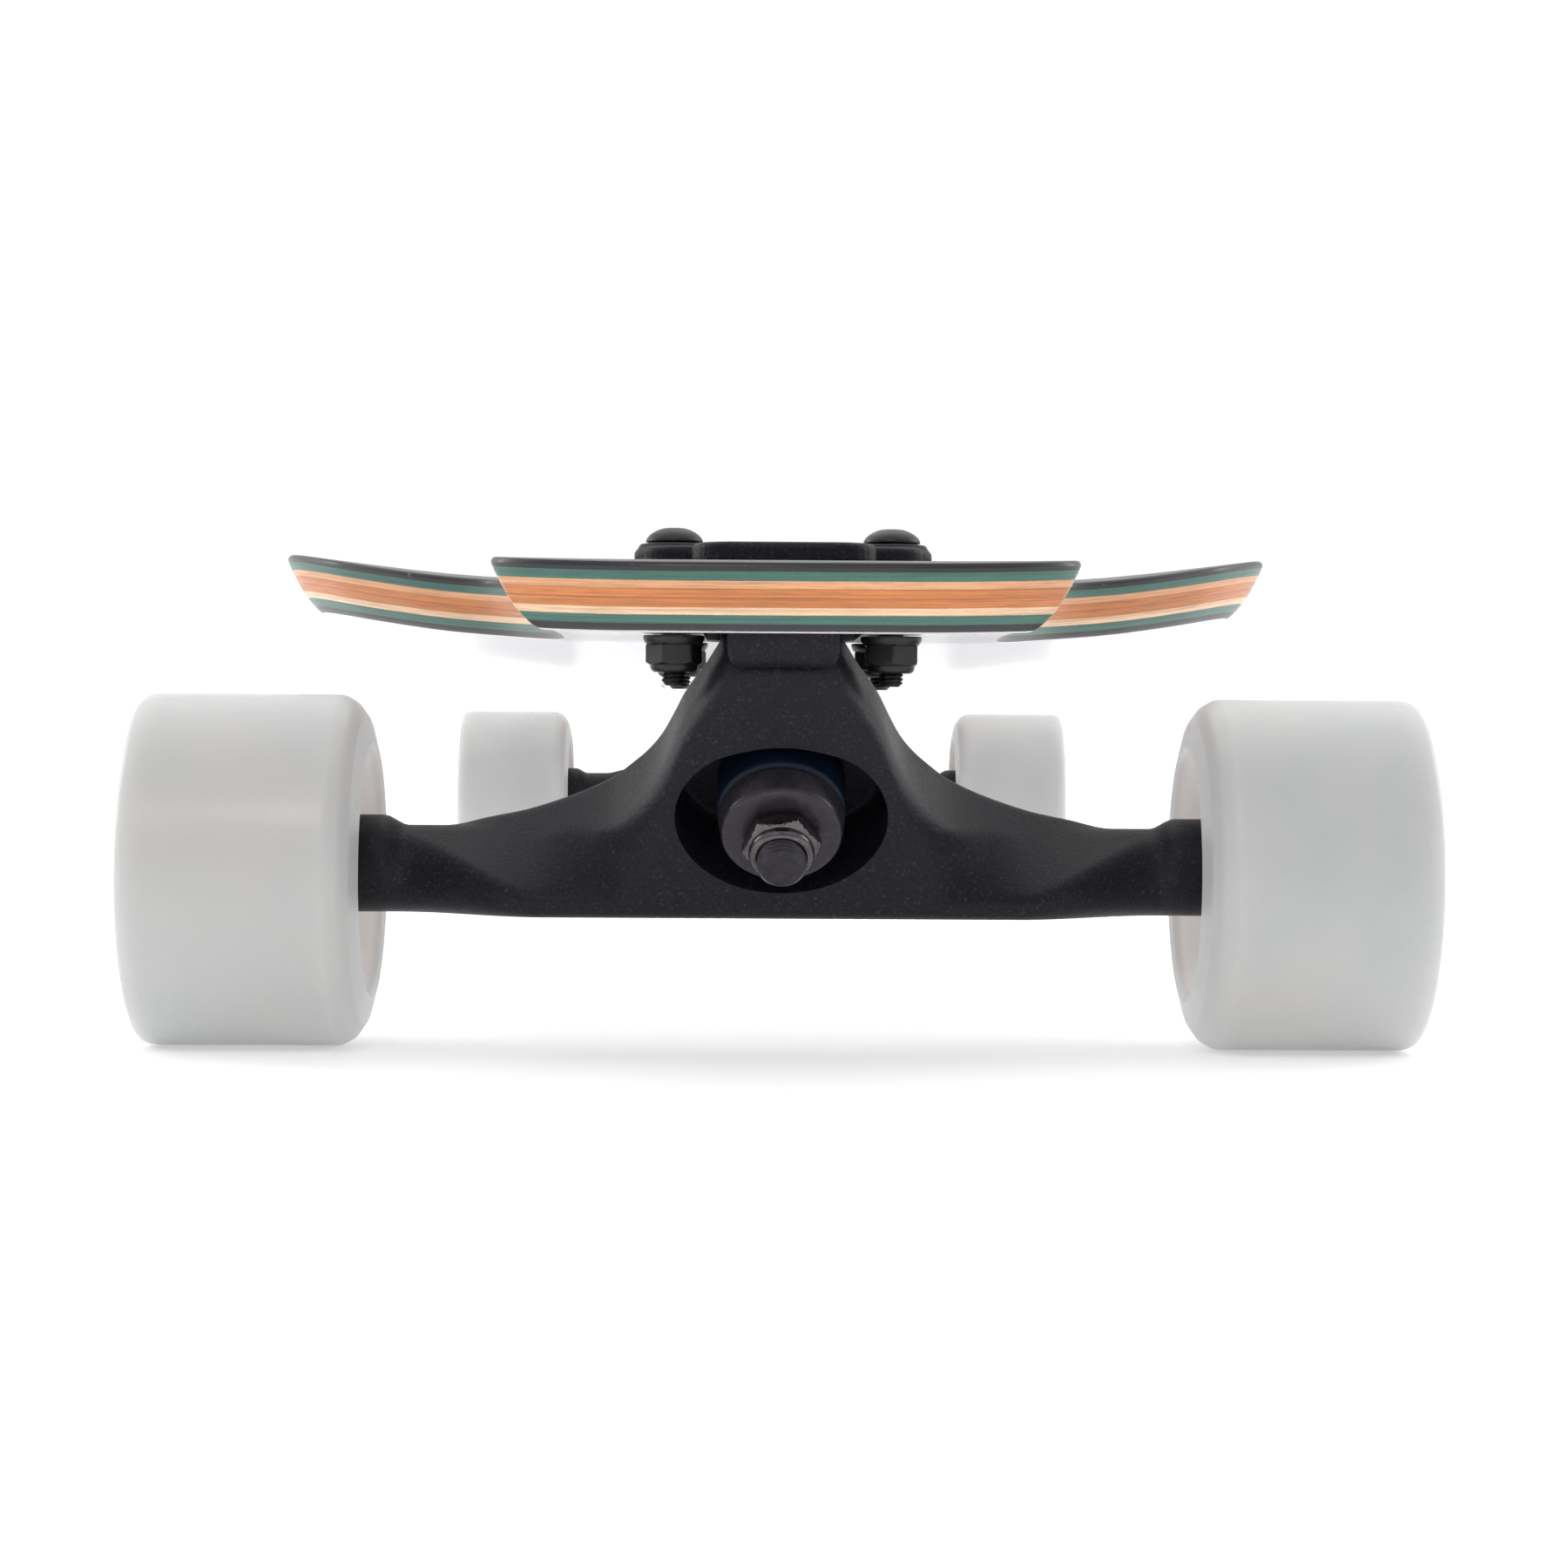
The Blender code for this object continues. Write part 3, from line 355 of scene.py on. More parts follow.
def deck_material():
    """Laminated maple seen on its cut edge: dyed plies, glue lines, long grain and a clear coat."""
    material, tree, shader, coords = new_material("deck_plies")
    depth = deck_depth(tree, coords)
    split = add(tree, "ShaderNodeSeparateXYZ", {0: coords})
    sheet = add(tree, "ShaderNodeCombineXYZ", {0: split.outputs[0], 1: split.outputs[1],
                                               2: maths(tree, "MULTIPLY", depth, 0.001)}).outputs[0]
    wobble = noise(tree, scaled(tree, sheet, 1.0, 1.0, 4.0), 22.0, 3.0)
    fuzz = noise(tree, coords, 1600.0, 2.0)
    depth = maths(tree, "ADD", depth, maths(tree, "MULTIPLY_ADD", wobble, 0.30, -0.15))
    depth = maths(tree, "ADD", depth, maths(tree, "MULTIPLY_ADD", fuzz, 0.12, -0.06))
    stops = []
    start = 0.0
    for end, colour in PLIES:
        stops.append(((start + PLY_BLUR) / BOARD_DEPTH if start else 0.0, colour))
        stops.append((min(1.0, (end - PLY_BLUR) / BOARD_DEPTH), colour))
        start = end
    layers = ramp(tree, maths(tree, "DIVIDE", depth, BOARD_DEPTH), stops)
    # long grain: streaks that run in the plane of the plies
    streak = noise(tree, scaled(tree, sheet, 18.0, 18.0, 2600.0), 1.0, 5.0, 0.6)
    fibre = noise(tree, scaled(tree, sheet, 140.0, 140.0, 3600.0), 1.0, 3.0, 0.6)
    patch = noise(tree, scaled(tree, sheet, 26.0, 26.0, 300.0), 1.0, 3.0)
    for value, share, levels in ((streak, 1.0, ((0.30, 0.72), (0.48, 1.0), (0.66, 1.10))),
                                 (fibre, 0.7, ((0.36, 0.74), (0.50, 1.0), (0.68, 1.12))),
                                 (patch, 0.6, ((0.35, 0.84), (0.65, 1.10)))):
        layers = mix(tree, share, layers, ramp(tree, value, levels), "MULTIPLY")
    painted = maths(tree, "GREATER_THAN", depth, PAINT_DEPTH)
    flat = mix(tree, painted, layers, WHITE_PAINT)
    # the stained upper face, whose grain runs along the board
    facing = add(tree, "ShaderNodeSeparateXYZ",
                 {0: tree.nodes.new("ShaderNodeNewGeometry").outputs["Normal"]}).outputs[2]
    upper = maths(tree, "GREATER_THAN", facing, 0.97)
    pores = noise(tree, scaled(tree, coords, 900.0, 14.0, 1.0), 1.0, 4.0, 0.65)
    figure = noise(tree, scaled(tree, coords, 60.0, 2.2, 1.0), 1.0, 4.0, 0.6)
    stain = mix(tree, ramp(tree, figure, ((0.35, 0.0), (0.7, 0.8))),
                ramp(tree, pores, ((0.35, (0.010, 0.009, 0.011)), (0.62, (0.024, 0.023, 0.027)))),
                (0.038, 0.035, 0.040))
    flat = mix(tree, upper, flat, stain)
    # painted highlight: pale speckled spots on the edges of the two outer plies, standing in for the
    # catch light along the glossy top edge
    edge_glint_speckle = noise(tree, coords, 420.0, 4.0, 0.7)
    painted_edge_glint = maths(tree, "MULTIPLY", ramp(tree, edge_glint_speckle, ((0.66, 0.0), (0.72, 0.55))),
                  maths(tree, "LESS_THAN", depth, 1.7))
    # the pale colour of the painted highlight
    flat = mix(tree, painted_edge_glint, flat, (0.22, 0.21, 0.235))
    link(tree, flat, shader, "Base Color")
    rough = ramp(tree, streak, ((0.3, 0.50), (0.7, 0.40)))
    rough = mix(tree, upper, rough, 0.56)
    link(tree, mix(tree, painted, rough, 0.20), shader, "Roughness")
    fix(shader, {"Coat Weight": 0.20, "Coat Roughness": 0.22})
    height = maths(tree, "ADD", maths(tree, "MULTIPLY", fibre, 0.6), maths(tree, "MULTIPLY", fuzz, 0.5))
    bump(tree, shader, maths(tree, "MULTIPLY", height, maths(tree, "SUBTRACT", 1.0, painted)), 0.25,
         0.00012)
    return material


DECK = deck_material()
CAST = cast_material("black_powder_coat", (0.0068, 0.0060, 0.0098), (0.040, 0.037, 0.048), 0.46, 1500.0)
WASHER_STEEL = steel_material("satin_black_steel", (0.040, 0.036, 0.044), 0.30, 0.5)
NUT_STEEL = steel_material("black_oxide", (0.120, 0.112, 0.116), 0.22, 0.95)
KINGPIN_STEEL = steel_material("kingpin_steel", (0.046, 0.043, 0.052), 0.30, 0.85)
BOLT_STEEL = steel_material("black_bolt", (0.0065, 0.006, 0.0072), 0.38, 0.1)
ZINC = steel_material("zinc_plate", (0.56, 0.55, 0.53), 0.26, 1.0, (1.0, 6.0, 6.0))
RACE = steel_material("bearing_race", (0.60, 0.60, 0.60), 0.18, 1.0)
SHIELD = plastic_material("bearing_shield", (0.030, 0.032, 0.038), 0.42)
URETHANE = urethane_material()
BLUE = bushing_material()
CUP_PLASTIC = plastic_material("pivot_cup_black", (0.016, 0.016, 0.017), 0.5)


# ---- mesh helpers
def smooth_step(value, low, high):
    """0 at low, 1 at high, with a soft start and end."""
    t = min(1.0, max(0.0, (value - low) / (high - low)))
    return t * t * (3.0 - 2.0 * t)


def along_table(table, x):
    """Smooth curve through (x, y) pairs, without overshoot."""
    if x <= table[0][0]:
        return table[0][1]
    slopes = [(b[1] - a[1]) / (b[0] - a[0]) for a, b in zip(table, table[1:])]
    for index, (start, end) in enumerate(zip(table, table[1:])):
        if x <= end[0]:
            before = slopes[max(index - 1, 0)]
            after = slopes[min(index + 1, len(slopes) - 1)]
            here = slopes[index]
            m0 = 0.0 if before * here <= 0.0 else 2.0 * before * here / (before + here)
            m1 = 0.0 if after * here <= 0.0 else 2.0 * after * here / (after + here)
            span = end[0] - start[0]
            t = (x - start[0]) / span
            return (start[1] * (1 + 2 * t) * (1 - t) ** 2 + m0 * span * t * (1 - t) ** 2
                    + end[1] * t * t * (3 - 2 * t) - m1 * span * t * t * (1 - t))
    return table[-1][1]


def mesh_from(name, source):
    """A mesh with a bmesh's contents, which is then freed."""
    mesh = bpy.data.meshes.new(name)
    source.to_mesh(mesh)
    source.free()
    return mesh


def to_mesh(name, source, place=None):
    """A mesh in metres from a bmesh in millimetres, set in place."""
    bmesh.ops.recalc_face_normals(source, faces=source.faces)
    mesh = mesh_from(name, source)
    mesh.transform(Matrix.Diagonal((MM, MM, MM, 1.0)))
    if place is not None:
        mesh.transform(place)
    return mesh


def piece(name, mesh, materials, node, angle=32.0, rides=True):
    """A finished piece: smooth shading with sharp creases, its body, and the node it stands for."""
    item = new_object(name, mesh)
    mesh.materials.clear()
    for material in materials:
        mesh.materials.append(material)
    mesh.shade_smooth()
    mesh.set_sharp_from_angle(angle=radians(angle))
    if rides:
        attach(item, BODY_OF[node])
    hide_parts(node)
    return item


def new_object(name, data):
    item = bpy.data.objects.new(name, data)
    bpy.context.scene.collection.objects.link(item)
    return item


def applied(item, name):
    """The item's mesh with its modifiers applied; the item itself is removed."""
    bpy.context.view_layer.update()
    made = bpy.data.meshes.new_from_object(item.evaluated_get(bpy.context.evaluated_depsgraph_get()))
    made.name = name
    bpy.data.objects.remove(item, do_unlink=True)
    return made


def carve(mesh, steps, name):
    """Applies boolean steps (operation, other mesh) one after the other."""
    item = new_object("solid", mesh)
    tools = []
    for operation, other in steps:
        tool = new_object("tool", other)
        tools.append(tool)
        modifier = item.modifiers.new(operation, "BOOLEAN")
        modifier.operation = operation
        modifier.object = tool
        modifier.solver = "EXACT"
    made = applied(item, name)
    for tool in tools:
        bpy.data.objects.remove(tool, do_unlink=True)
    return made


def cast_finish(mesh, name):
    """Gives a sharp solid the small fillets of a casting."""
    item = new_object("solid", mesh)
    remesh = item.modifiers.new("Remesh", "REMESH")
    remesh.mode = "VOXEL"
    remesh.voxel_size = 0.30 * MM
    smooth = item.modifiers.new("Smooth", "SMOOTH")
    smooth.factor = 0.5
    smooth.iterations = 2
    item.modifiers.new("Decimate", "DECIMATE").ratio = 0.30
    return applied(item, name)


def rounded(points, arc=4, closed=False):
    """A polyline with each (a, b, radius) corner turned into a short curve."""
    made = []
    count = len(points)
    for index, point in enumerate(points):
        here = Vector(point[:2])
        radius = point[2] if len(point) > 2 else 0.0
        inside = closed or 0 < index < count - 1
        if radius <= 0.0 or not inside:
            made.append(tuple(here))
            continue
        before = Vector(points[index - 1][:2])
        after = Vector(points[(index + 1) % count][:2])
        back = min(radius, (before - here).length * 0.49)
        ahead = min(radius, (after - here).length * 0.49)
        start = here + (before - here).normalized() * back
        end = here + (after - here).normalized() * ahead
        for step in range(arc + 1):
            t = step / arc
            made.append(tuple(start * (1 - t) ** 2 + here * 2 * t * (1 - t) + end * t * t))
    return made


def bridge(source, first, second):
    """Quads between two rings of as many vertices."""
    count = len(first)
    for i in range(count):
        j = (i + 1) % count
        source.faces.new((first[i], first[j], second[j], second[i]))


def circle(source, radius_at, height, steps):
    """A ring of vertices about Z, whose radius may change with angle and height."""
    ring = []
    for i in range(steps):
        angle = 2.0 * pi * i / steps
        radius = radius_at(angle, height)
        ring.append(source.verts.new((radius * cos(angle), radius * sin(angle), height)))
    return ring


def turned(name, profile, steps, place=None, closed=False):
    """A solid of revolution about Z from (radius, height) points."""
    source = bmesh.new()
    rings = []
    for radius, height in profile:
        if radius < 1e-6:
            rings.append([source.verts.new((0.0, 0.0, height))])
        else:
            rings.append(circle(source, lambda angle, level: radius, height, steps))
    pairs = list(zip(rings, rings[1:]))
    if closed:
        pairs.append((rings[-1], rings[0]))
    for first, second in pairs:
        for i in range(steps):
            j = (i + 1) % steps
            corners = first if len(first) == 1 else [first[i], first[j]]
            corners = corners + (second if len(second) == 1 else [second[j], second[i]])
            if len(corners) > 2:
                source.faces.new(corners)
    return to_mesh(name, source, place)


def polar_solid(name, heights, radius_at, bore, steps, place):
    """A solid about Z whose outer radius depends on angle and height; bore 0 closes it."""
    source = bmesh.new()
    rings = [circle(source, radius_at, height, steps) for height in heights]
    if bore:
        ends = [circle(source, lambda angle, level: bore, height, steps)
                for height in (heights[0], heights[-1])]
        rings = [ends[0], *rings, ends[1]]
    for first, second in zip(rings, rings[1:]):
        bridge(source, first, second)
    if bore:
        bridge(source, rings[-1], rings[0])
    else:
        source.faces.new(rings[0])
        source.faces.new(rings[-1])
    return to_mesh(name, source, place)


def hex_radius(angle, flats, turn=0.0):
    """Distance from the middle to a hexagon's side, flats being half its width."""
    part = (degrees(angle) - turn + 30.0) % 60.0 - 30.0
    return flats / cos(radians(part))


def joined(name, meshes):
    """One mesh made of several closed ones."""
    source = bmesh.new()
    for mesh in meshes:
        source.from_mesh(mesh)
    return mesh_from(name, source)


def rounded_rectangle(half_width, low, high, radius, steps=8):
    """Points round a rectangle centred on X, from low to high."""
    points = []
    centres = ((half_width - radius, high - radius, 0), (radius - half_width, high - radius, 90),
               (radius - half_width, low + radius, 180), (half_width - radius, low + radius, 270))
    for x, y, start in centres:
        for step in range(steps + 1):
            angle = radians(start + 90.0 * step / steps)
            points.append((x + radius * cos(angle), y + radius * sin(angle)))
    return points


def stacked(name, outlines, place=None):
    """A solid through outlines with equal numbers of points, each a list of 3-D points."""
    source = bmesh.new()
    rings = [[source.verts.new(point) for point in outline] for outline in outlines]
    for first, second in zip(rings, rings[1:]):
        bridge(source, first, second)
    source.faces.new(rings[0])
    source.faces.new(rings[-1])
    return to_mesh(name, source, place)


def soft_plate(name, half_width, low, high):
    """A part of the baseplate's plate, with a rounded upper edge; low and high are along Y."""
    outlines = []
    levels = [(0.0, PLATE_BOTTOM)]
    for step in range(5):
        angle = radians(22.5 * step)
        levels.append((PLATE_EDGE * (1 - cos(angle)), PLATE_TOP - PLATE_EDGE * (1 - sin(angle))))
    for inset, z in levels:
        outline = rounded_rectangle(half_width - inset, low + inset, high - inset, PLATE_CORNER - inset)
        outlines.append([(x, y, z) for x, y in outline])
    return stacked(name, outlines)


# ---- deck
def rail_rise(x):
    return max(0.0, rail_bend(x) - rail_bend(FLAT_HALF_WIDTH))


def deck_top(x, y):
    rise = CAMBER * (1.0 - smooth_step(abs(y), CAMBER_FULL, CAMBER_NONE))
    drop = NOSE_DROP * max(0.0, (abs(y) - DROP_START) / DROP_LENGTH) ** 2
    return DECK_BOTTOM + DECK_THICKNESS + rise - drop + rail_rise(abs(x))


def deck_outline():
    """Half the deck's plan from its middle to its tip: half width, distance, outward normal."""
    corner_start = DECK_LENGTH * 0.5 - TIP_CORNER
    stations = [0.0, 40.0, 80.0, 120.0, 155.0, 185.0, 210.0]
    stations += [220.0 + 5.0 * i for i in range(8)]
    stations += [260.0 + 3.0 * i for i in range(34)]
    stations += [366.0, 380.0, 395.0, 410.0, 422.0, 434.0, 444.0]
    points = [(along_table(FLARE, y), y) for y in stations]
    for step in range(15):
        angle = radians(90.0 * step / 14)
        width = TIP_HALF_WIDTH + (NECK_HALF_WIDTH - TIP_HALF_WIDTH) * cos(angle)
        points.append((width, corner_start + TIP_CORNER * sin(angle)))
    normals = []
    for index in range(len(points)):
        before = points[max(index - 1, 0)]
        after = points[min(index + 1, len(points) - 1)]
        step = Vector((after[0] - before[0], after[1] - before[1]))
        normals.append(Vector((step.y, -step.x)).normalized())
    normals[0] = Vector((1.0, 0.0))
    normals[-1] = Vector((0.0, 1.0))
    return [(w, y, n.x, n.y) for (w, y), n in zip(points, normals)]


def deck_row(width, y):
    """The points across the deck at a distance along it."""
    flat = min(FLAT_HALF_WIDTH, 0.56 * width)
    parts = (0.0, 0.10, 0.20, 0.30, 0.40, 0.50, 0.60, 0.70, 0.80, 0.90, 1.0)
    half = [flat * 0.5] + [flat + (width - flat) * part for part in parts]
    across = [-x for x in reversed(half)] + [0.0] + half
    bow = TIP_BOW * smooth_step(abs(y), TIP_BOW_START, DECK_LENGTH * 0.5)
    return [(x, y - copysign(bow * (x / NECK_HALF_WIDTH) ** 2, y)) for x in across]


def deck_solid(name, steps):
    """The deck's shape between the levels given as (inset, depth)."""
    half = deck_outline()
    stations = [(w, -y, nx, -ny) for w, y, nx, ny in reversed(half[1:])] + half
    source = bmesh.new()
    levels = []
    for inset, depth in steps:
        rows = []
        for width, y, nx, ny in stations:
            rows.append([source.verts.new((x, v, deck_top(x, v) - depth))
                         for x, v in deck_row(width - inset * nx, y - inset * ny)])
        levels.append(rows)
    columns = len(levels[0][0])
    for rows in (levels[0], levels[-1]):
        for first, second in zip(rows, rows[1:]):
            for c in range(columns - 1):
                source.faces.new((first[c], first[c + 1], second[c + 1], second[c]))
    for upper, lower in zip(levels, levels[1:]):
        rings = []
        for rows in (upper, lower):
            ring = list(rows[0]) + [row[-1] for row in rows[1:]]
            ring += list(reversed(rows[-1][:-1])) + [row[0] for row in reversed(rows[1:-1])]
            rings.append(ring)
        bridge(source, *rings)
    unused = [vertex for vertex in source.verts if not vertex.link_faces]
    bmesh.ops.delete(source, geom=unused, context="VERTS")
    return to_mesh(name, source)


# heights between which a cutter goes right through the deck and the baseplate
CUT_THROUGH = (60.0, 120.0)


def shifted(x, out):
    return Matrix.Translation((x * MM, -out * MM, 0.0))


def slot_cutter(place):
    outline = rounded_rectangle(CUTOUT_HALF_WIDTH, -CUTOUT_OUT, -CUTOUT_IN, CUTOUT_CORNER, 10)
    return stacked("slot", [[(x, y, z) for x, y in outline] for z in CUT_THROUGH], place)


def rod(name, radius, low, high, steps, place):
    """A plain cylinder about Z, used to cut holes."""
    return turned(name, ((0.0, low), (radius, low), (radius, high), (0.0, high)), steps, place)


def hole_cutter(place, x, out):
    return rod("hole", BOLT_HOLE_RADIUS, *CUT_THROUGH, 28, place @ shifted(x, out))


def make_deck(trucks):
    cuts = []
    for place in trucks.values():
        cuts.append(("DIFFERENCE", slot_cutter(place)))
        cuts += [("DIFFERENCE", hole_cutter(place, x, out)) for x, out in BOLT_PLACES]
    deck = carve(deck_solid("deck_board", EDGE_STEPS), cuts, "deck_board")
    piece("deck_board", deck, [DECK], "deck", 30.0)


# ---- baseplate
def steer_point(along, proud):
    """(outboard, height above the ground) of a point given in the steering axis's frame."""
    return (along * sin(LEAN) + proud * cos(LEAN),
            AXLE_HEIGHT / MM + along * cos(LEAN) - proud * sin(LEAN))


def side_prism(name, corners, half_width):
    """A prism across the truck from an outline of (outboard, height)."""
    return stacked(name, [[(x, -out, z) for out, z in corners] for x in (-half_width, half_width)])


def baseplate_mesh():
    """The baseplate in the truck's own frame, which is on the ground under the axle."""
    plate = soft_plate("plate", 27.2, -41.5, 31.0)
    steps = [("UNION", soft_plate("tongue", 17.0, -57.0, 0.0))]
    inside = PLATE_BOTTOM + 1.0
    # the wedge that the kingpin stands in, then the block that holds the pivot cup
    wedge = rounded(((-24.0, inside, 0), (-20.5, 76.0, 2), (-14.0, 65.0, 3),
                     (*steer_point(15.0, -22.9), 2), (*steer_point(42.0, -22.9), 1),
                     (15.0, 88.0, 2), (15.0, inside, 0)), 4, True)
    steps.append(("UNION", side_prism("wedge", wedge, 12.0)))
    side = rounded(((37.0, inside, 0), (*steer_point(60.0, -6.9), 1), (*steer_point(60.0, 8.9), 1.2),
                    (47.6, 74.9, 2), (50.4, 76.6, 2.5), (51.8, 80.0, 3), (51.8, inside, 0)), 4, True)
    face = rounded_rectangle(10.35, 74.8, 118.0, 3.5, 8)
    sleeve = stacked("sleeve", [[(x, y, z) for x, z in face] for y in (-100.0, 100.0)])
    block = carve(side_prism("block", side, 11.5), [("INTERSECT", sleeve)], "block")
    steps.append(("UNION", block))
    boss = rounded(((0.0, BOSS_TOP), (6.6, BOSS_TOP, 0.7), (6.75, 97.9, 0.5), (7.6, 97.0, 0.3),
                    (7.6, 95.4), (0.0, 95.4)), 4)
    for x, out in BOLT_PLACES:
        steps.append(("UNION", turned("boss", boss, 40, shifted(x, out))))
    well = (steer_point(37.4, -27.0), steer_point(18.4, -27.0), (-17.2, 76.0), (-19.0, 84.0),
            (-19.0, 103.0), (6.0, 103.0))
    steps.append(("DIFFERENCE", side_prism("well", well, 8.6)))
    steering = (Matrix.Translation((0.0, 0.0, AXLE_HEIGHT))
                @ Matrix.Rotation(LEAN, 4, "X"))
    steps.append(("DIFFERENCE", rod("bore", 5.05, -35.0, -20.0, 32, steering @ kingpin_turn())))
    steps.append(("DIFFERENCE", rod("cup", 6.8, 54.0, 69.3, 36, steering)))
    steps += [("DIFFERENCE", hole_cutter(Matrix.Identity(4), x, out)) for x, out in BOLT_PLACES]
    return cast_finish(carve(plate, steps, "baseplate"), "baseplate")


def kingpin_turn():
    """From the steering axis's frame to one whose Z runs out along the kingpin."""
    return Matrix.Translation((0.0, 0.0, KINGPIN_ALONG * MM)) @ Matrix.Rotation(pi / 2, 4, "X")


# ---- hanger
def hanger_circles(x):
    """Rounding circles of the hanger's section at x: (outboard, above axle, radius)."""
    side = abs(x)
    bulge = 1.0 - smooth_step(side, BULGE_FULL, BULGE_NONE)
    beam = 9.1 - 0.4 * smooth_step(side, 55.0, 67.0) + 1.0 * smooth_step(side, 74.0, 79.0)
    neck = smooth_step(side, 6.0, 14.0) - smooth_step(side, 22.0, 32.0)
    back = BACK_FACE + EDGE_RADIUS
    tops = [along_table(HANGER_TOP, side + taper * neck) - EDGE_RADIUS for taper in NECK_TAPER]
    back_along, front_along = [(top + back * sin(LEAN)) / cos(LEAN) for top in tops]
    shoulder = smooth_step(side, 6.0, 14.0) - smooth_step(side, 22.0, 38.0)
    front_radius = EDGE_RADIUS + (FRONT_RADIUS - EDGE_RADIUS) * shoulder
    front = POCKET_PROUD + FACE_SLOPE * (front_along + EDGE_RADIUS - KINGPIN_ALONG) - front_radius
    front = back + (front - back) * bulge * (1.0 - ARM_THINNING * smooth_step(side, 20.5, 44.0))
    front_along -= front_radius - EDGE_RADIUS
    middle = beam - BEAM_BELOW
    circles = [(0.0, middle, beam)]
    for along, proud, radius in ((back_along, back, EDGE_RADIUS), (front_along, front, front_radius)):
        circles.append((along * sin(LEAN) + proud * cos(LEAN),
                        along * cos(LEAN) - proud * sin(LEAN), radius))
    circles.append((FRONT_LOW[0] * bulge, middle + (FRONT_LOW[1] - middle) * bulge,
                    beam + (EDGE_RADIUS - beam) * bulge))
    return circles


def evenly_spaced(loop, count):
    """Points at equal distances round a closed loop, from its first point on."""
    sides = [(end - start).length for start, end in zip(loop, loop[1:] + loop[:1])]
    points = []
    index = 0
    passed = 0.0
    for i in range(count):
        target = sum(sides) * i / count
        while passed + sides[index] < target:
            passed += sides[index]
            index += 1
        along = (target - passed) / sides[index]
        points.append(loop[index].lerp(loop[(index + 1) % len(loop)], along))
    return points


def hanger_section(x, sides):
    """The hull of the section's circles, as evenly spaced points from its lowest one round."""
    circles = hanger_circles(x)
    hull = []
    for step in range(HULL_STEPS):
        angle = 2.0 * pi * step / HULL_STEPS - pi / 2
        normal = Vector((cos(angle), sin(angle)))
        out, up, radius = max(circles, key=lambda c: c[0] * normal.x + c[1] * normal.y + c[2])
        hull.append(Vector((out, up)) + normal * radius)
    return evenly_spaced(hull, sides)


def hanger_body():
    """The hanger in the steering axis's frame."""
    half = [1.5 * i for i in range(6)] + [9.0 + 0.7 * i for i in range(30)]
    half += [31.0 + 1.6 * i for i in range(28)] + [75.0 + 1.0 * i for i in range(15)] + [89.6, 90.0]
    across = [-x for x in reversed(half[1:])] + half
    lean = Matrix.Rotation(-LEAN, 4, "X")
    outlines = []
    for x in across:
        inward = 0.5 * smooth_step(abs(x), 89.2, 90.0)
        ring = []
        for out, up in hanger_section(x, 120):
            shrink = 1.0 - inward / 9.7
            ring.append(lean @ Vector((x, -out * shrink, (up - 1.4) * shrink + 1.4)))
        outlines.append(ring)
    body = stacked("hanger_body", outlines)
    nose = rounded(((0.0, 68.0), (2.9, 67.6, 1.5), (4.5, 64.0, 2.0), (4.5, 52.8), (0.0, 52.8)), 6)
    turn = kingpin_turn()
    wide, tall = 20.4, 14.9
    oval = turn @ Matrix.Diagonal((1.0, tall / wide, 1.0, 1.0))
    pocket = rounded(((0.0, 2.2), (19.6, 2.2, 1.4), (wide, 5.0), (wide, 45.0), (0.0, 45.0)), 5)
    across_turn = Matrix.Rotation(pi / 2, 4, "Y")
    steps = [("UNION", turned("nose", nose, 36)),
             ("DIFFERENCE", turned("pocket", pocket, 96, oval)),
             ("DIFFERENCE", rod("seat", BUSHING_SEAT_RADIUS, -30.0, -5.7, 48, turn)),
             ("DIFFERENCE", rod("ring_hole", 7.0, -9.0, 5.0, 40, turn)),
             ("DIFFERENCE", rod("axle_bore", AXLE_RADIUS + 0.3, -100.0, 100.0, 28, across_turn))]
    return carve(body, steps, "hanger")


# ---- fasteners
def thread(name, radius, pitch, low, high, tip, place, steps=36):
    """A threaded end from low to high; tip, +1 or -1, names its chamfered end."""
    depth = 0.55 * pitch
    count = round(8.0 * (high - low) / pitch)
    heights = [low + (high - low) * i / count for i in range(count + 1)]

    def radius_at(angle, height):
        phase = (height / pitch - angle / (2.0 * pi)) % 1.0
        groove = abs(2.0 * phase - 1.0)
        from_tip = (high - height) if tip > 0 else (height - low)
        limit = radius - depth - 0.45 + 1.1 * max(0.0, from_tip)
        return min(radius - depth * groove, limit)

    return polar_solid(name, heights, radius_at, 0.0, steps, place)


def nut_mesh(name, flats, low, high, bore, place, turn, chamfer):
    """A hexagon nut body with both ends chamfered; flats is half its width across flats."""
    corner = flats / cos(radians(30.0))
    heights = sorted(set([low + 0.22 * i * chamfer for i in range(6)]
                         + [high - 0.22 * i * chamfer for i in range(6)] + [low, high]))

    def radius_at(angle, height):
        from_end = min(high - height, height - low)
        return min(hex_radius(angle, flats, turn), corner - 1.55 * max(0.0, chamfer - from_end))

    return polar_solid(name, heights, radius_at, bore, 96, place)


def bolt_mesh(place):
    """A button-head bolt with a hexagon socket and a threaded end."""
    head_low = BOSS_TOP + 0.3
    head = rounded(((0.0, 101.8), (2.6, 101.6, 1.2), (4.6, 100.5, 0.9), (5.4, 99.45, 0.35),
                    (5.4, head_low, 0.15), (BOLT_RADIUS, head_low), (BOLT_RADIUS, 74.6),
                    (2.0, 74.2), (0.0, 74.2)), 5)
    socket = polar_solid("socket", [100.6, 103.0], lambda angle, height: hex_radius(angle, 1.6),
                         0.0, 24, place)
    head_mesh = carve(turned("bolt", head, 48, place), [("DIFFERENCE", socket)], "bolt")
    end = thread("bolt_thread", BOLT_RADIUS, BOLT_PITCH, 71.8, 74.5, -1, place, 32)
    return joined("bolt", [head_mesh, end])


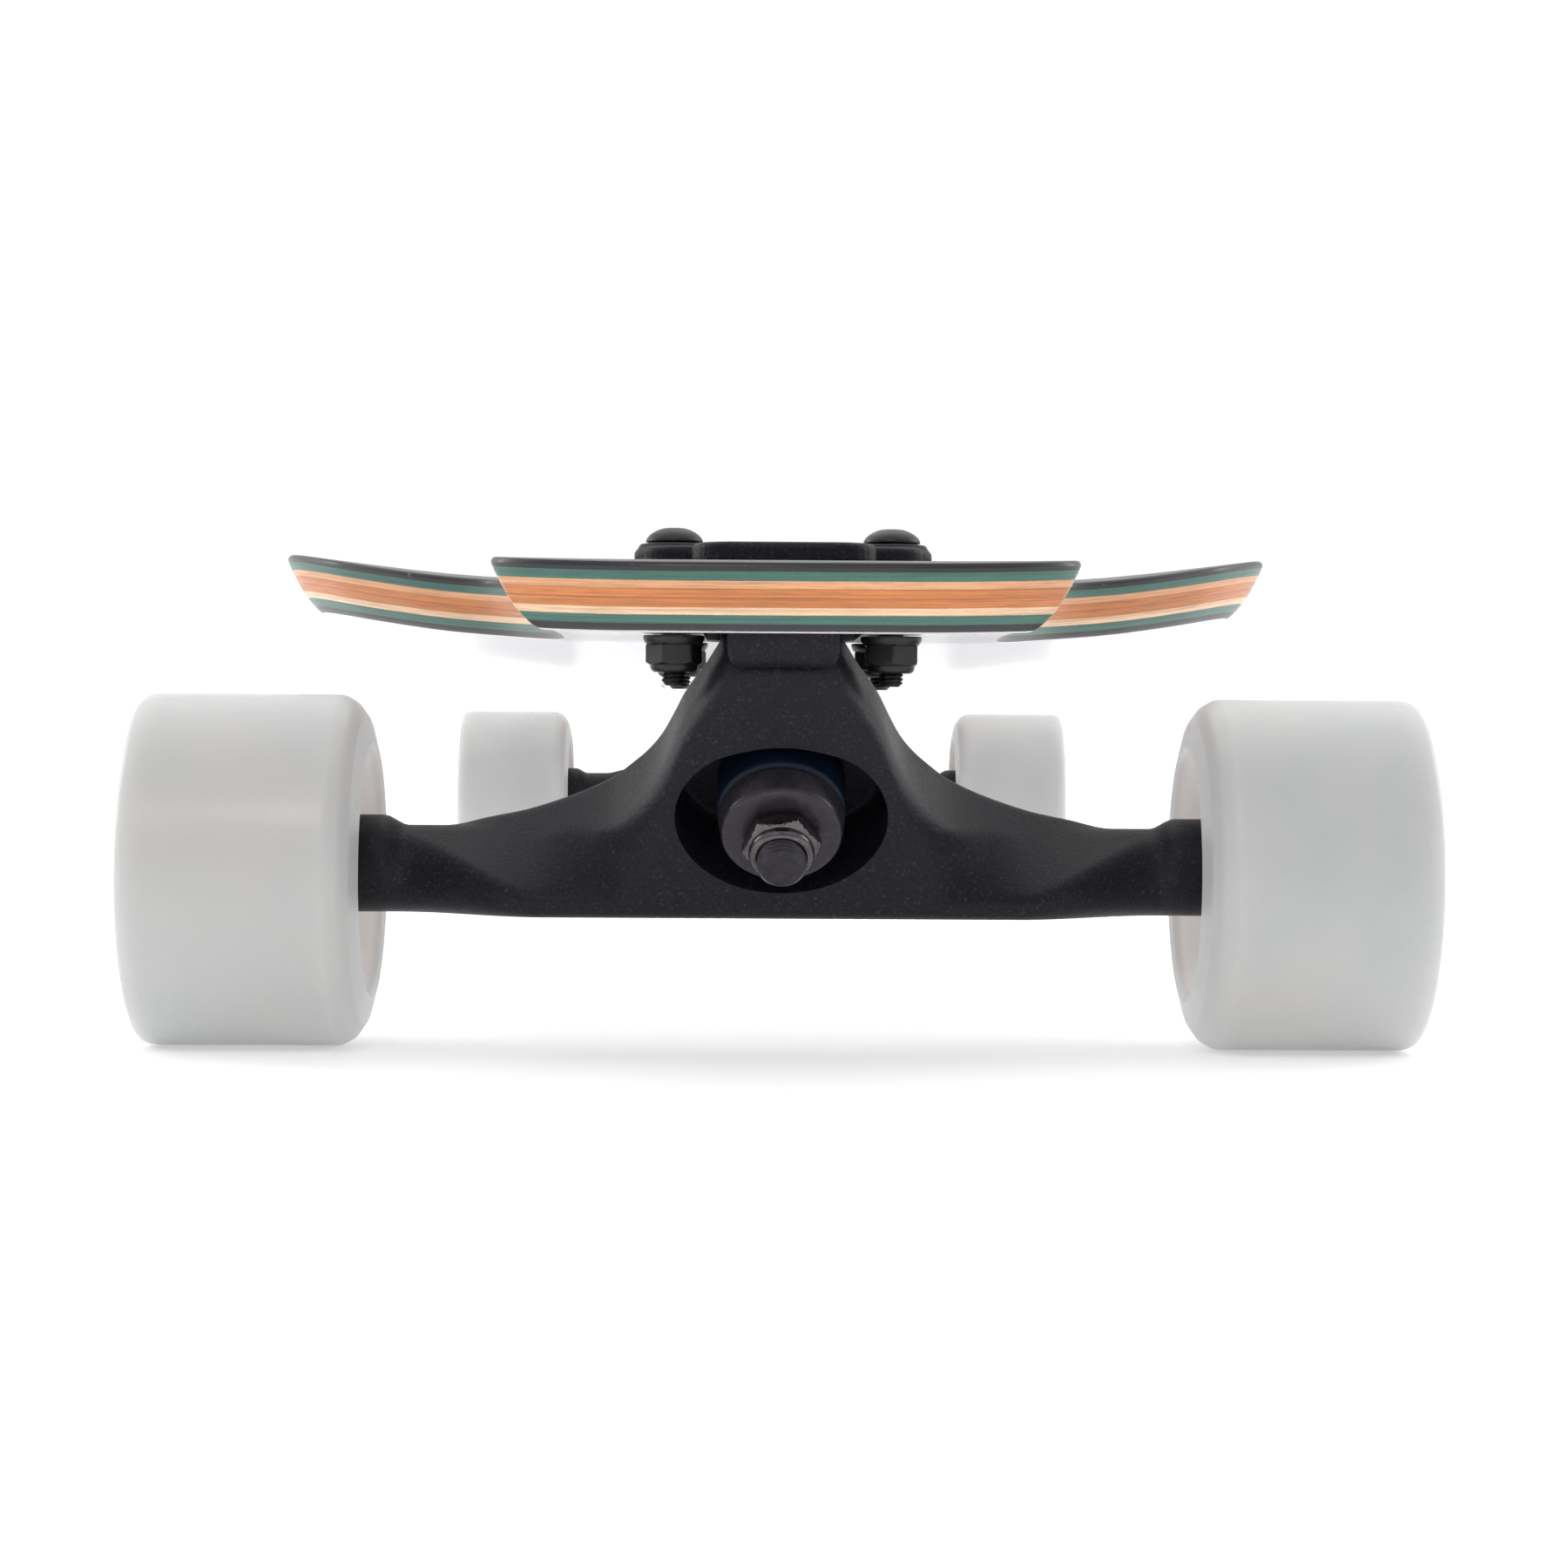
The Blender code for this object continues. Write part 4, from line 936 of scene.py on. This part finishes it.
def bolt_nut_mesh(place, turn):
    """A flanged lock nut under the deck, with its nylon collar."""
    top = DECK_BOTTOM - 0.3
    bore = BOLT_HOLE_RADIUS
    flange = rounded(((bore, top), (5.8, top, 0.1), (5.9, top - 0.55, 0.3), (5.5, top - 1.4, 0.4),
                      (4.9, top - 1.9, 0.2), (bore, top - 1.9)), 3)
    ring = turned("flange", flange, 56, place, closed=True)
    hexagon = nut_mesh("hexagon", 4.75, 75.6, top - 1.2, bore, place, turn, 0.7)
    collar = rounded(((2.62, 76.2), (4.5, 76.2), (4.5, 75.0, 0.6), (3.9, 74.3, 0.5),
                      (2.62, 74.3, 0.3)), 4)
    return joined("bolt_nut", [ring, hexagon, turned("collar", collar, 48, place, closed=True)])


# ---- kingpin set
def kingpin_mesh(place):
    """The kingpin with its head in the baseplate and its threaded end outwards."""
    profile = rounded(((0.0, 27.5), (4.2, 27.5), (4.2, 19.0), (KINGPIN_RADIUS, 19.0),
                       (KINGPIN_RADIUS, -27.3), (7.4, -27.3, 0.3), (7.6, -28.0, 0.3),
                       (7.6, -32.0, 0.6), (7.0, -32.5, 0.5), (0.0, -32.5)), 4)
    shank = turned("kingpin", profile, 40, place)
    end = thread("kingpin_thread", KINGPIN_RADIUS, FINE_PITCH, 19.5, 30.2, 1, place, 44)
    return joined("kingpin", [shank, end])


def cup_washer_mesh(place, front, deep, side):
    """A dished washer: face at front, rolled rim reaching back over the bushing."""
    points = ((5.05, 0.0), (9.9, 0.0, 0.4), (11.5, -0.25, 1.5), (11.75, -2.2, 0.8),
              (12.2, -deep, 0.2), (11.3, -deep, 0.2), (10.9, -3.0, 0.6), (5.05, -3.0))
    profile = [(r, front + side * z) for r, z in rounded(points, 5, True)]
    return turned("cup_washer", profile, 72, place, closed=True)


def make_kingpin_set(truck, steering):
    place = steering @ kingpin_turn()
    piece(f"{truck}_kingpin_bolt", kingpin_mesh(place), [KINGPIN_STEEL], f"{truck}_kingpin",
          40.0)
    for label, front, deep, side in (("road", 20.6, 5.9, 1), ("board", -22.7, 4.2, -1)):
        piece(f"{truck}_{label}_cup_washer", cup_washer_mesh(place, front, deep, side),
              [WASHER_STEEL], f"{truck}_cup_washer_{label}", 50.0)
    body = nut_mesh("kingpin_nut", 6.65, 20.8, 24.9, 4.9, place, 98.0, 1.2)
    collar = rounded(((4.95, 24.5), (6.2, 24.5), (6.3, 26.0, 0.7), (5.5, 26.8, 0.4), (4.95, 26.8)), 4)
    ring = turned("nut_collar", collar, 64, place, closed=True)
    piece(f"{truck}_king_nut", joined("king_nut", [body, ring]), [NUT_STEEL],
          f"{truck}_kingpin_nut", 28.0)
    thin, thick = 10.8, 12.4
    for label, low, high, side in (("road", 2.5, 17.3, 1), ("board", -20.7, -6.0, -1)):
        bands = [(5.1, low), (thick - 0.8, low, 0.6), (thick, low + 0.9, 0.8), (thick, high - 3.9, 0.6),
                 (thin, high - 3.1, 0.6), (thin, high, 0.5), (5.1, high)]
        if side < 0:
            bands = [(r, low + high - z, *rest) for r, z, *rest in reversed(bands)]
        mesh = turned("bushing", rounded(bands, 5, True), 64, place, closed=True)
        item = piece(f"{truck}_{label}_bushing", mesh, [BLUE], f"{truck}_bushing_{label}",
                     40.0, rides=False)
        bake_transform(item)


# ---- axle and wheels
def wheel_profile():
    """(radius, distance from the truck's middle) round half of a wheel's section."""
    return rounded(((32.4, 126.8, 1.0), (34.4, 126.2, 1.3), (35.0, 124.2, 1.3), (35.0, 87.0, 0.9),
                    (33.6, 84.4, 1.0), (30.9, 82.5, 0.35), (25.6, 81.1, 0.45), (24.5, 81.7, 0.45),
                    (23.6, 83.2, 0.8),
                    (17.0, 88.6, 3.0), (14.2, 90.6, 1.2), (11.6, 90.9, 0.4), (11.35, 91.3, 0.2),
                    (11.35, 98.7), (9.0, 98.7), (9.0, 108.0), (11.35, 108.0), (11.35, 116.3, 0.2),
                    (11.9, 116.9, 0.4), (14.2, 116.9, 0.8), (15.2, 118.2, 1.0), (18.0, 121.4, 2.0),
                    (24.5, 124.6, 1.5), (26.5, 126.4, 1.0)), 6, True)


def bearing_mesh(place, low):
    """A ball bearing's outside, with its recessed shields in their own material."""
    high = low + 7.0
    points = []
    for end, way in ((high, -1.0), (low, 1.0)):
        side = [(4.35, end, 0.15), (6.1, end, 0.15), (6.2, end + 0.45 * way, 0.1),
                (9.3, end + 0.45 * way, 0.1), (9.45, end, 0.15), (11.0, end, 0.35)]
        points += side if way < 0 else list(reversed(side))
    mesh = turned("bearing", rounded(points, 2, True), 56, place, closed=True)
    centre = place.translation
    axis = (place.to_3x3() @ Vector((0.0, 0.0, 1.0))).normalized()
    mesh.materials.append(RACE)
    mesh.materials.append(SHIELD)
    for face in mesh.polygons:
        offset = Vector(face.center) - centre
        radius = (offset - axis * offset.dot(axis)).length
        if 0.0062 < radius < 0.0094 and abs(face.normal.dot(axis)) > 0.7:
            face.material_index = 1
    return mesh


def make_running_gear(truck, axle_place):
    across = axle_place @ Matrix.Rotation(pi / 2, 4, "Y")
    shaft = turned("axle", ((0.0, 119.0), (3.4, 119.0), (3.4, 114.0), (AXLE_RADIUS, 113.6),
                            (AXLE_RADIUS, -113.6), (3.4, -114.0), (3.4, -119.0), (0.0, -119.0)),
                   36, across)
    ends = [thread("axle_thread", AXLE_RADIUS, FINE_PITCH, 114.0, 124.5, 1, across),
            thread("axle_thread", AXLE_RADIUS, FINE_PITCH, -124.5, -114.0, -1, across)]
    piece(f"{truck}_axle_rod", joined("axle", [shaft, *ends]), [ZINC], f"{truck}_axle",
          40.0)
    for label, side in (("left", -1), ("right", 1)):
        place = axle_place @ Matrix.Rotation(side * pi / 2, 4, "Y")
        wheel = turned("wheel", wheel_profile(), 128, place, closed=True)
        piece(f"{truck}_{label}_tyre", wheel, [URETHANE], f"{truck}_{label}_wheel",
              40.0)
        for where, low in (("inner", 91.4), ("outer", 108.3)):
            piece(f"{truck}_{label}_{where}_race", bearing_mesh(place, low), [RACE, SHIELD],
                  f"{truck}_{label}_{where}_bearing", 35.0)
        washer = turned("washer", rounded(((4.3, 90.3, 0.1), (7.4, 90.3, 0.3), (7.4, 91.1, 0.3),
                                           (4.3, 91.1, 0.1)), 3, True), 44, place, closed=True)
        piece(f"{truck}_{label}_spacer_washer", washer, [ZINC], f"{truck}_{label}_speed_washer")
        body = nut_mesh("axle_nut", 6.4, 115.6, 120.6, 4.2, place, 15.0, 0.9)
        collar = turned("collar", rounded(((4.2, 120.3), (5.8, 120.3), (5.8, 121.8, 0.6),
                                           (5.2, 122.4, 0.4), (4.2, 122.4)), 4, True), 48, place,
                        closed=True)
        piece(f"{truck}_{label}_lock_nut", joined("axle_nut", [body, collar]), [ZINC],
              f"{truck}_{label}_axle_nut", 28.0)


# ---- assembly
def truck_places():
    """Each truck's frame on the ground under its axle, from the CAD's axle boxes."""
    places = {}
    for truck, turn in (("front", 0.0), ("rear", pi)):
        low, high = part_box(f"{truck}_axle")
        middle = (low + high) * 0.5
        places[truck] = (Matrix.Translation((0.0, middle.y, 0.0)) @ Matrix.Rotation(turn, 4, "Z"),
                         middle.z)
    return places


def make_truck(truck, ground, axle_height, hanger, baseplate):
    axle_place = ground @ Matrix.Translation((0.0, 0.0, axle_height))
    steering = axle_place @ Matrix.Rotation(LEAN, 4, "X")
    body = hanger.copy()
    body.transform(steering)
    piece(f"{truck}_hanger_casting", body, [CAST], f"{truck}_hanger", 33.0)
    plate = baseplate.copy()
    plate.transform(ground)
    piece(f"{truck}_baseplate_casting", plate, [CAST], f"{truck}_baseplate", 50.0)
    for index, (x, out) in enumerate(BOLT_PLACES, 1):
        place = ground @ shifted(x, out)
        piece(f"{truck}_mounting_bolt_{index}", bolt_mesh(place), [BOLT_STEEL],
              f"{truck}_bolt_{index}", 34.0)
        piece(f"{truck}_lock_nut_{index}", bolt_nut_mesh(place, 17.0 + 23.0 * index), [BOLT_STEEL],
              f"{truck}_bolt_nut_{index}", 28.0)
    make_kingpin_set(truck, steering)
    make_running_gear(truck, axle_place)
    cup = frame["nodes"][f"{truck}_pivot_cup"]
    cup.data.materials.clear()
    cup.data.materials.append(CUP_PLASTIC)


places = truck_places()
make_deck({truck: ground for truck, (ground, _) in places.items()})
hanger_shape = hanger_body()
baseplate_shape = baseplate_mesh()
for truck_name, (ground_place, height) in places.items():
    make_truck(truck_name, ground_place, height, hanger_shape, baseplate_shape)


# ---- stage, light and camera
def make_floor():
    source = bmesh.new()
    bmesh.ops.create_grid(source, x_segments=2, y_segments=2, size=40.0)
    mesh = mesh_from("floor", source)
    floor = new_object("floor", mesh)
    floor.location.z = -0.0002
    material, tree, shader, coords = new_material("floor_white")
    tint = noise(tree, coords, 0.6, 2.0)
    link(tree, ramp(tree, tint, ((0.3, 0.90), (0.7, 0.92))), shader, "Base Color")
    fix(shader, {"Roughness": 0.6, "Specular IOR Level": 0.2,
                 "Emission Color": (1.0, 1.0, 1.0, 1.0), "Emission Strength": 0.30})
    mesh.materials.append(material)


def area_light(name, location, target, size, power):
    data = bpy.data.lights.new(name, "AREA")
    data.shape = "RECTANGLE"
    data.size, data.size_y = size
    data.energy = power
    lamp = new_object(name, data)
    lamp.location = location
    lamp.rotation_euler = (Vector(target) - Vector(location)).to_track_quat("-Z", "Y").to_euler()


def make_light():
    world = bpy.data.worlds.new("studio")
    world.use_nodes = True
    tree = world.node_tree
    background = tree.nodes["Background"]
    background.inputs["Color"].default_value = (1.0, 1.0, 1.0, 1.0)
    # a bright backdrop behind the board, fading to a dimmer room on the photographer's side
    direction = tree.nodes.new("ShaderNodeTexCoord").outputs["Generated"]
    along = add(tree, "ShaderNodeSeparateXYZ", {0: direction}).outputs[1]
    room = map_range(tree, along, -1.0, 1.0, 0.52, 1.30)
    seen = tree.nodes.new("ShaderNodeLightPath").outputs["Is Camera Ray"]
    strength = add(tree, "ShaderNodeMix", {0: seen, 2: room, 3: 1.05}).outputs[0]
    tree.links.new(strength, background.inputs["Strength"])
    bpy.context.scene.world = world
    front = (0.0, -0.4, 0.05)
    area_light("top_softbox", (0.0, 0.4, 1.8), (0.0, -0.1, 0.0), (2.2, 2.2), 9.0)
    area_light("left_strip", (-1.5, 0.3, 0.7), front, (0.25, 1.0), 6.0)
    area_light("right_strip", (1.6, 0.3, 0.8), front, (0.25, 1.0), 6.0)
    area_light("front_glint", (-0.2, -1.7, 1.1), front, (0.25, 0.25), 3.0)


def make_camera():
    data = bpy.data.cameras.new("camera")
    data.sensor_width = 36.0
    data.lens = 74.62
    data.clip_start = 0.01
    data.clip_end = 100.0
    camera = new_object("camera", data)
    camera.location = (-0.0069, -1.0175, 0.064)
    turn = (Matrix.Rotation(radians(-0.68), 3, "Z") @ Matrix.Rotation(radians(89.0), 3, "X")
            @ Matrix.Rotation(radians(0.35), 3, "Z"))
    camera.rotation_euler = turn.to_euler()
    bpy.context.scene.camera = camera


make_floor()
make_light()
make_camera()
bpy.context.scene.view_settings.view_transform = "Standard"
